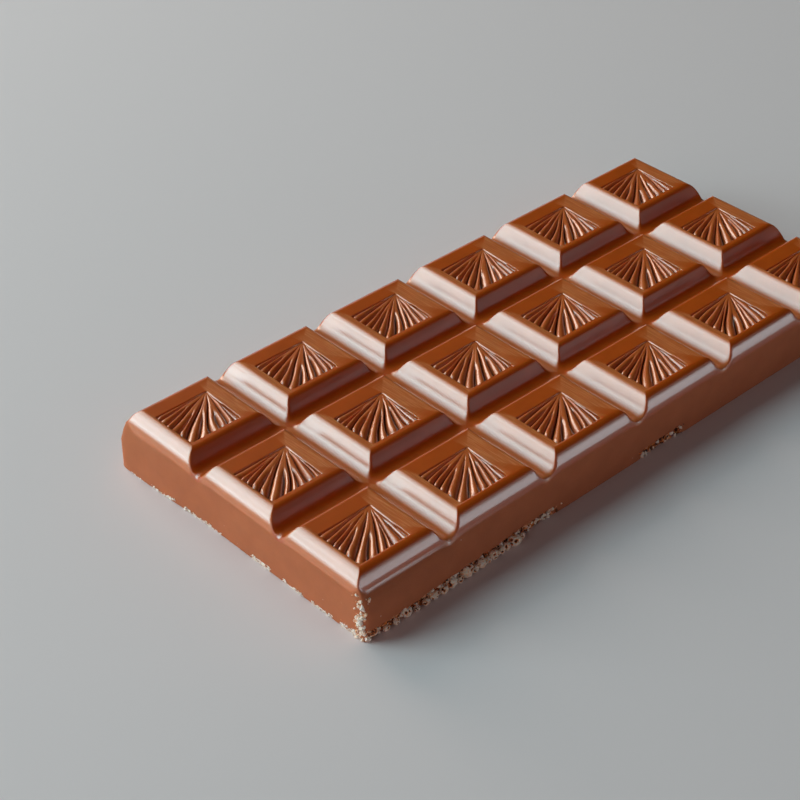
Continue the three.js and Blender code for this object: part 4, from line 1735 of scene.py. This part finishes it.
@dataclass(frozen=True)
class MilkChocolate:
    """The finish of the bar: glossy where it was moulded, matte and paler on the walls, with painted shade
    in the fan's valleys and a painted sheen in the paler scuffs.
    """

    moulded: Colour = (0.56, 0.08, 0.004, 1.0)
    # Paler colour on the strips that run along Y: partly real scuffs, partly a painted sheen of the window's
    # reflection.
    scuff_and_sheen_colour: Colour = (0.76, 0.22, 0.07, 1.0)
    wall: Colour = (0.5, 0.135, 0.057, 1.0)
    # Painted shade: the dark colour mixed into the floors of the fan's valleys.
    valley: Colour = (0.12, 0.016, 0.001, 1.0)
    pale: Colour = (1.0, 0.76, 0.62, 1.0)
    torn_grain: float = 1900.0
    fine_grain: float = 5200.0
    speck_scale: float = 1000.0
    speck_size: float = 0.11
    speck_rarity: float = 0.975
    speck_strength: float = 0.45
    flake_stretch: tuple[float, float, float] = (900.0, 420.0, 1500.0)
    valley_shade_narrowness: float = 5.0
    patchiness: float = 0.16

    # How much scratches, grain and torn places add to the relief.
    RELIEF = (0.25, 0.35, 2.5)
    BUMP = {"Strength": 0.6, "Distance": 0.00012}
    SURFACE = {
        "IOR": 1.47,
        "Specular IOR Level": 0.2,
        "Coat IOR": 1.9,
        "Coat Roughness": 0.24,
        "Subsurface Weight": 0.25,
        "Subsurface Radius": (1.0, 0.35, 0.12),
        "Subsurface Scale": 0.001,
    }

    def build(self, groups: EffectGroups) -> bpy.types.Material:
        """Makes the material from the shared effects."""
        tree = ShaderBuilder("milk_chocolate")
        place, matte, across = tree.place(), tree.read("matte"), tree.read("across")
        glossy = tree.math("SUBTRACT", 1.0, matte)
        beyond = tree.math("ADD", tree.read("out_x"), tree.read("out_y"))
        scratch = tree.group(groups.scratches, {"Vector": place, "Along Y": across}).outputs[0]
        scratch = tree.blend(tree.span(beyond, 0.5, 0.1), 0.5, scratch)
        broken = tree.group(groups.broken, {"Vector": place, "Grain": self.torn_grain})
        edge = tree.math("MULTIPLY_ADD", broken.outputs["Height"], 0.6, tree.read("crumbly"))
        torn = tree.span(edge, 0.45, 0.6)

        # Partly real scuffs and partly painted sheen: the strips along Y are paler everywhere, and more
        # where scratched.
        fine = tree.math("MULTIPLY_ADD", tree.span(scratch, 0.42, 0.66), 0.6, 0.35)
        scuff_and_sheen = tree.product(across, glossy, fine)
        colour = tree.mix(scuff_and_sheen, tree.mix(matte, self.moulded, self.wall), self.scuff_and_sheen_colour)
        # Painted shade: the fan's valleys darken towards their floors, more where a valley has grown deep.
        from_crest = tree.math("SUBTRACT", 1.0, tree.read("ray"))
        low = tree.math("POWER", from_crest, self.valley_shade_narrowness)
        valley = tree.product(low, tree.read("grown"), glossy)
        colour = tree.mix(tree.math("MINIMUM", valley, 1.0), colour, self.valley)
        patches = {"Vector": place, "Color": colour, "Amount": self.patchiness}
        colour = tree.group(groups.tone, patches).outputs[0]
        colour = self.flecked(tree, colour, place, matte)
        colour = tree.mix(torn, colour, tone_ramp(tree, broken.outputs["Tone"]))

        by_scratch, by_grain, by_torn = self.RELIEF
        grain = tree.noise(place, self.fine_grain, 3.0).outputs[0]
        height = tree.product(scratch, glossy, by_scratch)
        height = tree.math("MULTIPLY_ADD", tree.math("MULTIPLY", grain, matte), by_grain, height)
        rough_torn = tree.math("MULTIPLY", broken.outputs["Height"], torn)
        height = tree.math("MULTIPLY_ADD", rough_torn, by_torn, height)
        bump = tree.add("ShaderNodeBump", {"Height": height, **self.BUMP})
        rough = tree.math("MULTIPLY_ADD", matte, 0.3, tree.math("MULTIPLY_ADD", scratch, 0.2, 0.32))
        gloss = tree.math("MULTIPLY", glossy, tree.math("SUBTRACT", 1.0, torn))
        varying = {"Base Color": colour, "Roughness": rough, "Coat Weight": gloss, "Normal": bump.outputs[0]}
        return tree.finish(tree.add("ShaderNodeBsdfPrincipled", {**varying, **self.SURFACE}))

    def flecked(
        self,
        tree: ShaderBuilder,
        colour: bpy.types.NodeSocket,
        place: bpy.types.NodeSocket,
        matte: bpy.types.NodeSocket,
    ) -> bpy.types.NodeSocket:
        """Adds pale specks to the walls and pale flakes to their foot.

        Args:
            tree: The material's nodes.
            colour: The colour so far.
            place: The piece's coordinates.
            matte: Where the walls are.

        Returns:
            The colour with its specks and flakes.
        """
        specks = tree.add("ShaderNodeTexVoronoi", {"Vector": place, "Scale": self.speck_scale})
        chance = tree.add("ShaderNodeSeparateColor", {0: specks.outputs[1]}).outputs[0]
        rare = tree.math("GREATER_THAN", chance, self.speck_rarity)
        dot = tree.math("LESS_THAN", specks.outputs[0], self.speck_size)
        speck = tree.product(rare, dot, tree.math("MULTIPLY", matte, self.speck_strength))
        colour = tree.mix(speck, colour, self.pale)
        patches = tree.noise(tree.vector("MULTIPLY", place, self.flake_stretch), 1.0, 4.0).outputs[0]
        flake = tree.span(tree.math("MULTIPLY", patches, tree.read("flaky")), 0.42, 0.5)
        return tree.mix(flake, colour, self.pale)


@dataclass(frozen=True)
class BrokenChocolate:
    """The finish of crumbs and flakes: dry, rough, and anything from dark brown to near white."""

    name: str = "broken_chocolate"
    grain: float = 3200.0
    patches: float = 900.0
    grain_swing: float = 0.7

    BUMP = {"Strength": 0.7, "Distance": 0.0002}
    SURFACE = {
        "Roughness": 0.6,
        "IOR": 1.47,
        "Subsurface Weight": 0.15,
        "Subsurface Radius": (1.0, 0.5, 0.25),
        "Subsurface Scale": 0.0006,
    }

    def build(self, groups: EffectGroups) -> bpy.types.Material:
        """Makes the material from the shared effects."""
        tree = ShaderBuilder(self.name)
        place = tree.place()
        broken = tree.group(groups.broken, {"Vector": place, "Grain": self.grain})
        swing = tree.math("SUBTRACT", broken.outputs["Tone"], 0.5)
        tone = tree.math("MULTIPLY_ADD", swing, self.grain_swing, tree.read("tone"))
        soft = {"Vector": place, "Color": tone_ramp(tree, tone), "Patches": self.patches}
        colour = tree.group(groups.tone, soft).outputs[0]
        bump = tree.add("ShaderNodeBump", {"Height": broken.outputs["Height"], **self.BUMP})
        varying = {"Base Color": colour, "Normal": bump.outputs[0]}
        return tree.finish(tree.add("ShaderNodeBsdfPrincipled", {**varying, **self.SURFACE}))


# ---- The studio ----


@dataclass(frozen=True)
class SoftLight:
    """A large soft light, placed by the direction it comes from.

    Attributes:
        name: Name of the light.
        direction: From the bar towards the light.
        spread: Its size across and along the arc over the bar, in degrees as seen from the bar.
        radiance: How bright it looks, where 1 is white.
        colour: Its colour.
    """

    name: str
    direction: tuple[float, float, float]
    spread: tuple[float, float]
    radiance: float
    colour: tuple[float, float, float] = (1.0, 1.0, 1.0)

    DISTANCE = 1.3
    SIDEWAYS = (0.0, 1.0, 0.0)

    def build(self, target: Vector) -> bpy.types.Object:
        """Makes the light.

        Args:
            target: The point it faces, in metres.

        Returns:
            The light's object.
        """
        light = bpy.data.lights.new(self.name, "AREA")
        light.shape = "RECTANGLE"
        across, along = (2 * self.DISTANCE * math.tan(math.radians(size / 2)) for size in self.spread)
        light.size, light.size_y = across, along
        light.energy = self.radiance * math.pi * across * along
        light.color = self.colour
        made = linked(self.name, light)
        back = Vector(self.direction).normalized()
        lateral = Vector(self.SIDEWAYS)
        lateral = (lateral - back * lateral.dot(back)).normalized()
        turn = Matrix((lateral, back.cross(lateral), back)).transposed().to_4x4()
        made.matrix_world = Matrix.Translation(target + back * self.DISTANCE) @ turn
        return made


@dataclass(frozen=True)
class Window:
    """A tall window that leans over the bar from the left, as an arc of panes.

    Attributes:
        behind: How far the arc lies behind the bar, as a share of its distance.
        pane: A pane's size across and along the arc, in degrees.
        panes: Each pane's height on the arc, in degrees, and how bright it looks.
        colour: The colour of its light.
    """

    behind: float = 0.584
    pane: tuple[float, float] = (30.0, 13.0)
    panes: tuple[tuple[float, float], ...] = (
        (9.0, 5.8), (20.0, 2.9), (32.0, 4.1), (44.0, 4.2),
        (57.0, 3.3), (70.0, 2.6), (84.0, 1.7), (98.0, 0.7),
    )  # fmt: skip
    colour: tuple[float, float, float] = (0.68, 1.0, 1.06)

    def lights(self) -> list[SoftLight]:
        """Lists the window's panes as soft lights, from its foot to its head."""
        reach = math.sqrt(1 - self.behind**2)
        found = []
        for number, (height, radiance) in enumerate(self.panes):
            angle = math.radians(height)
            way = (-reach * math.cos(angle), self.behind, reach * math.sin(angle))
            found.append(SoftLight(f"window_{number}", way, self.pane, radiance, self.colour))
        return found


@dataclass(frozen=True)
class Studio:
    """The camera, the lights and the pale floor."""

    azimuth: float = -43.257
    elevation: float = 36.662
    roll: float = 0.194
    distance: float = 0.33484
    target: tuple[float, float, float] = (-0.025333, 0.002633, 0.0089)
    lens: float = 89.57
    sensor: float = 36.0
    nearest: float = 0.01
    aim: tuple[float, float, float] = (0.0, 0.0, 0.01)
    floor_colour: Colour = (0.82, 0.66, 0.65, 1.0)
    floor_half: float = 2.0
    floor_height: float = -0.00003
    ambient: float = 0.0
    window: Window = Window()
    lights: tuple[SoftLight, ...] = (
        SoftLight("back_glow", (0.05, 0.91, 0.4), (36.0, 20.0), 4.8, (1.0, 0.9, 0.78)),
        SoftLight("left_fill", (-0.95, -0.1, 0.3), (40.0, 30.0), 1.3),
        SoftLight("front_fill", (-0.2, -0.9, 0.4), (40.0, 30.0), 0.15),
        SoftLight("front_glow", (0.56, -0.83, 0.08), (34.0, 9.0), 3.5, (0.85, 0.95, 1.0)),
        SoftLight("front_sheen", (0.53, -0.78, 0.33), (30.0, 6.0), 0.75, (0.72, 1.0, 1.04)),
        SoftLight("horizon", (0.52, 0.84, 0.11), (20.0, 12.0), 0.5),
    )

    def camera_turn(self) -> Matrix:
        """Works out which way the camera faces, as a rotation matrix."""
        azimuth, elevation = math.radians(self.azimuth), math.radians(self.elevation)
        roll = math.radians(self.roll)
        back = Vector((
            math.sin(azimuth) * math.cos(elevation),
            -math.cos(azimuth) * math.cos(elevation),
            math.sin(elevation),
        ))
        right = Vector((math.cos(azimuth), math.sin(azimuth), 0.0))
        up = back.cross(right)
        sideways = math.cos(roll) * right + math.sin(roll) * up
        upright = math.cos(roll) * up - math.sin(roll) * right
        return Matrix((sideways, upright, back)).transposed()

    def build(self) -> None:
        """Makes the camera, the lights, the floor and an unlit world."""
        lens = bpy.data.cameras.new("camera")
        lens.lens = self.lens
        lens.sensor_width = self.sensor
        lens.clip_start = self.nearest
        camera = linked("camera", lens)
        turn = self.camera_turn()
        place = Vector(self.target) + turn.col[2] * self.distance
        camera.matrix_world = Matrix.Translation(place) @ turn.to_4x4()
        bpy.context.scene.camera = camera
        for light in (*self.window.lights(), *self.lights):
            light.build(Vector(self.aim))
        self.build_floor()
        world = bpy.data.worlds.new("studio")
        world.use_nodes = True
        background = world.node_tree.nodes["Background"]
        background.inputs["Color"].default_value = (1.0, 1.0, 1.0, 1.0)
        background.inputs["Strength"].default_value = self.ambient
        bpy.context.scene.world = world
        bpy.context.scene.view_settings.view_transform = "Standard"

    def build_floor(self) -> None:
        """Makes the floor, a hair under the bar."""
        half = self.floor_half
        mesh = bpy.data.meshes.new("floor")
        corners = [(-half, -half), (half, -half), (half, half), (-half, half)]
        mesh.from_pydata([(x, y, self.floor_height) for x, y in corners], [], [[0, 1, 2, 3]])
        floor = linked("floor", mesh)
        tree = ShaderBuilder("pale_floor")
        surface = tree.add("ShaderNodeBsdfPrincipled", {"Base Color": self.floor_colour, "Roughness": 0.8})
        mesh.materials.append(tree.finish(surface))
        floor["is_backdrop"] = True


def crumb_kinds() -> tuple[Crumbs, ...]:
    """Lists the kinds of crumbs and flakes on the bar."""
    thin_and_level = ((0.16, 1.0, 0.4), 0.5)
    return (
        Crumbs("pale_foot_crumbs", crumbly_share, (0.15, 1.9), 2.6, (0.12, 0.5), (0.6, 1.15), 3),
        # Partly dark chocolate and partly painted shade: near-black crumbs stand in for the shadows in the
        # gaps between crumbs.
        Crumbs("dark_foot_crumbs_and_gap_shade", crumbly_share, (0.1, 2.0), 1.6, (0.14, 0.45), (0.1, 0.5), 8),
        Crumbs("corner_ridge_crumbs", corner_share, (0.2, 8.6), 6.5, (0.18, 0.55), (0.52, 1.1), 5),
        Crumbs(
            "end_wall_flakes", flaky_share, (0.05, 1.35), 20.0, (0.12, 0.5), (0.95, 1.2), 4, *thin_and_level
        ),
    )


def main() -> None:
    """Builds the bar, its crumbs and its studio, piece by piece."""
    logging.basicConfig(level=logging.INFO, format="%(name)s: %(message)s")
    cad_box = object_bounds()
    Studio().build()
    groups = EffectGroups(tone_group(), scratch_group(), broken_group())
    slab = MouldedSlab(SquareGrid(), Fan())
    bar = slab.build(MilkChocolate().build(groups))
    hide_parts(NODE)
    broken = BrokenChocolate().build(groups)
    tree = crumb_tree()
    pieces = [bar, CornerCurl().build(broken), PorousLumps().build(slab, cad_box, broken)]
    pieces += [kind.build(slab, tree, cad_box, broken) for kind in crumb_kinds()]
    for piece in pieces:
        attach(piece, BODY)
        triangles = sum(len(face.vertices) - 2 for face in piece.data.polygons)
        log.info("%s: %d triangles", piece.name, triangles)


if __name__ == "__main__":
    main()
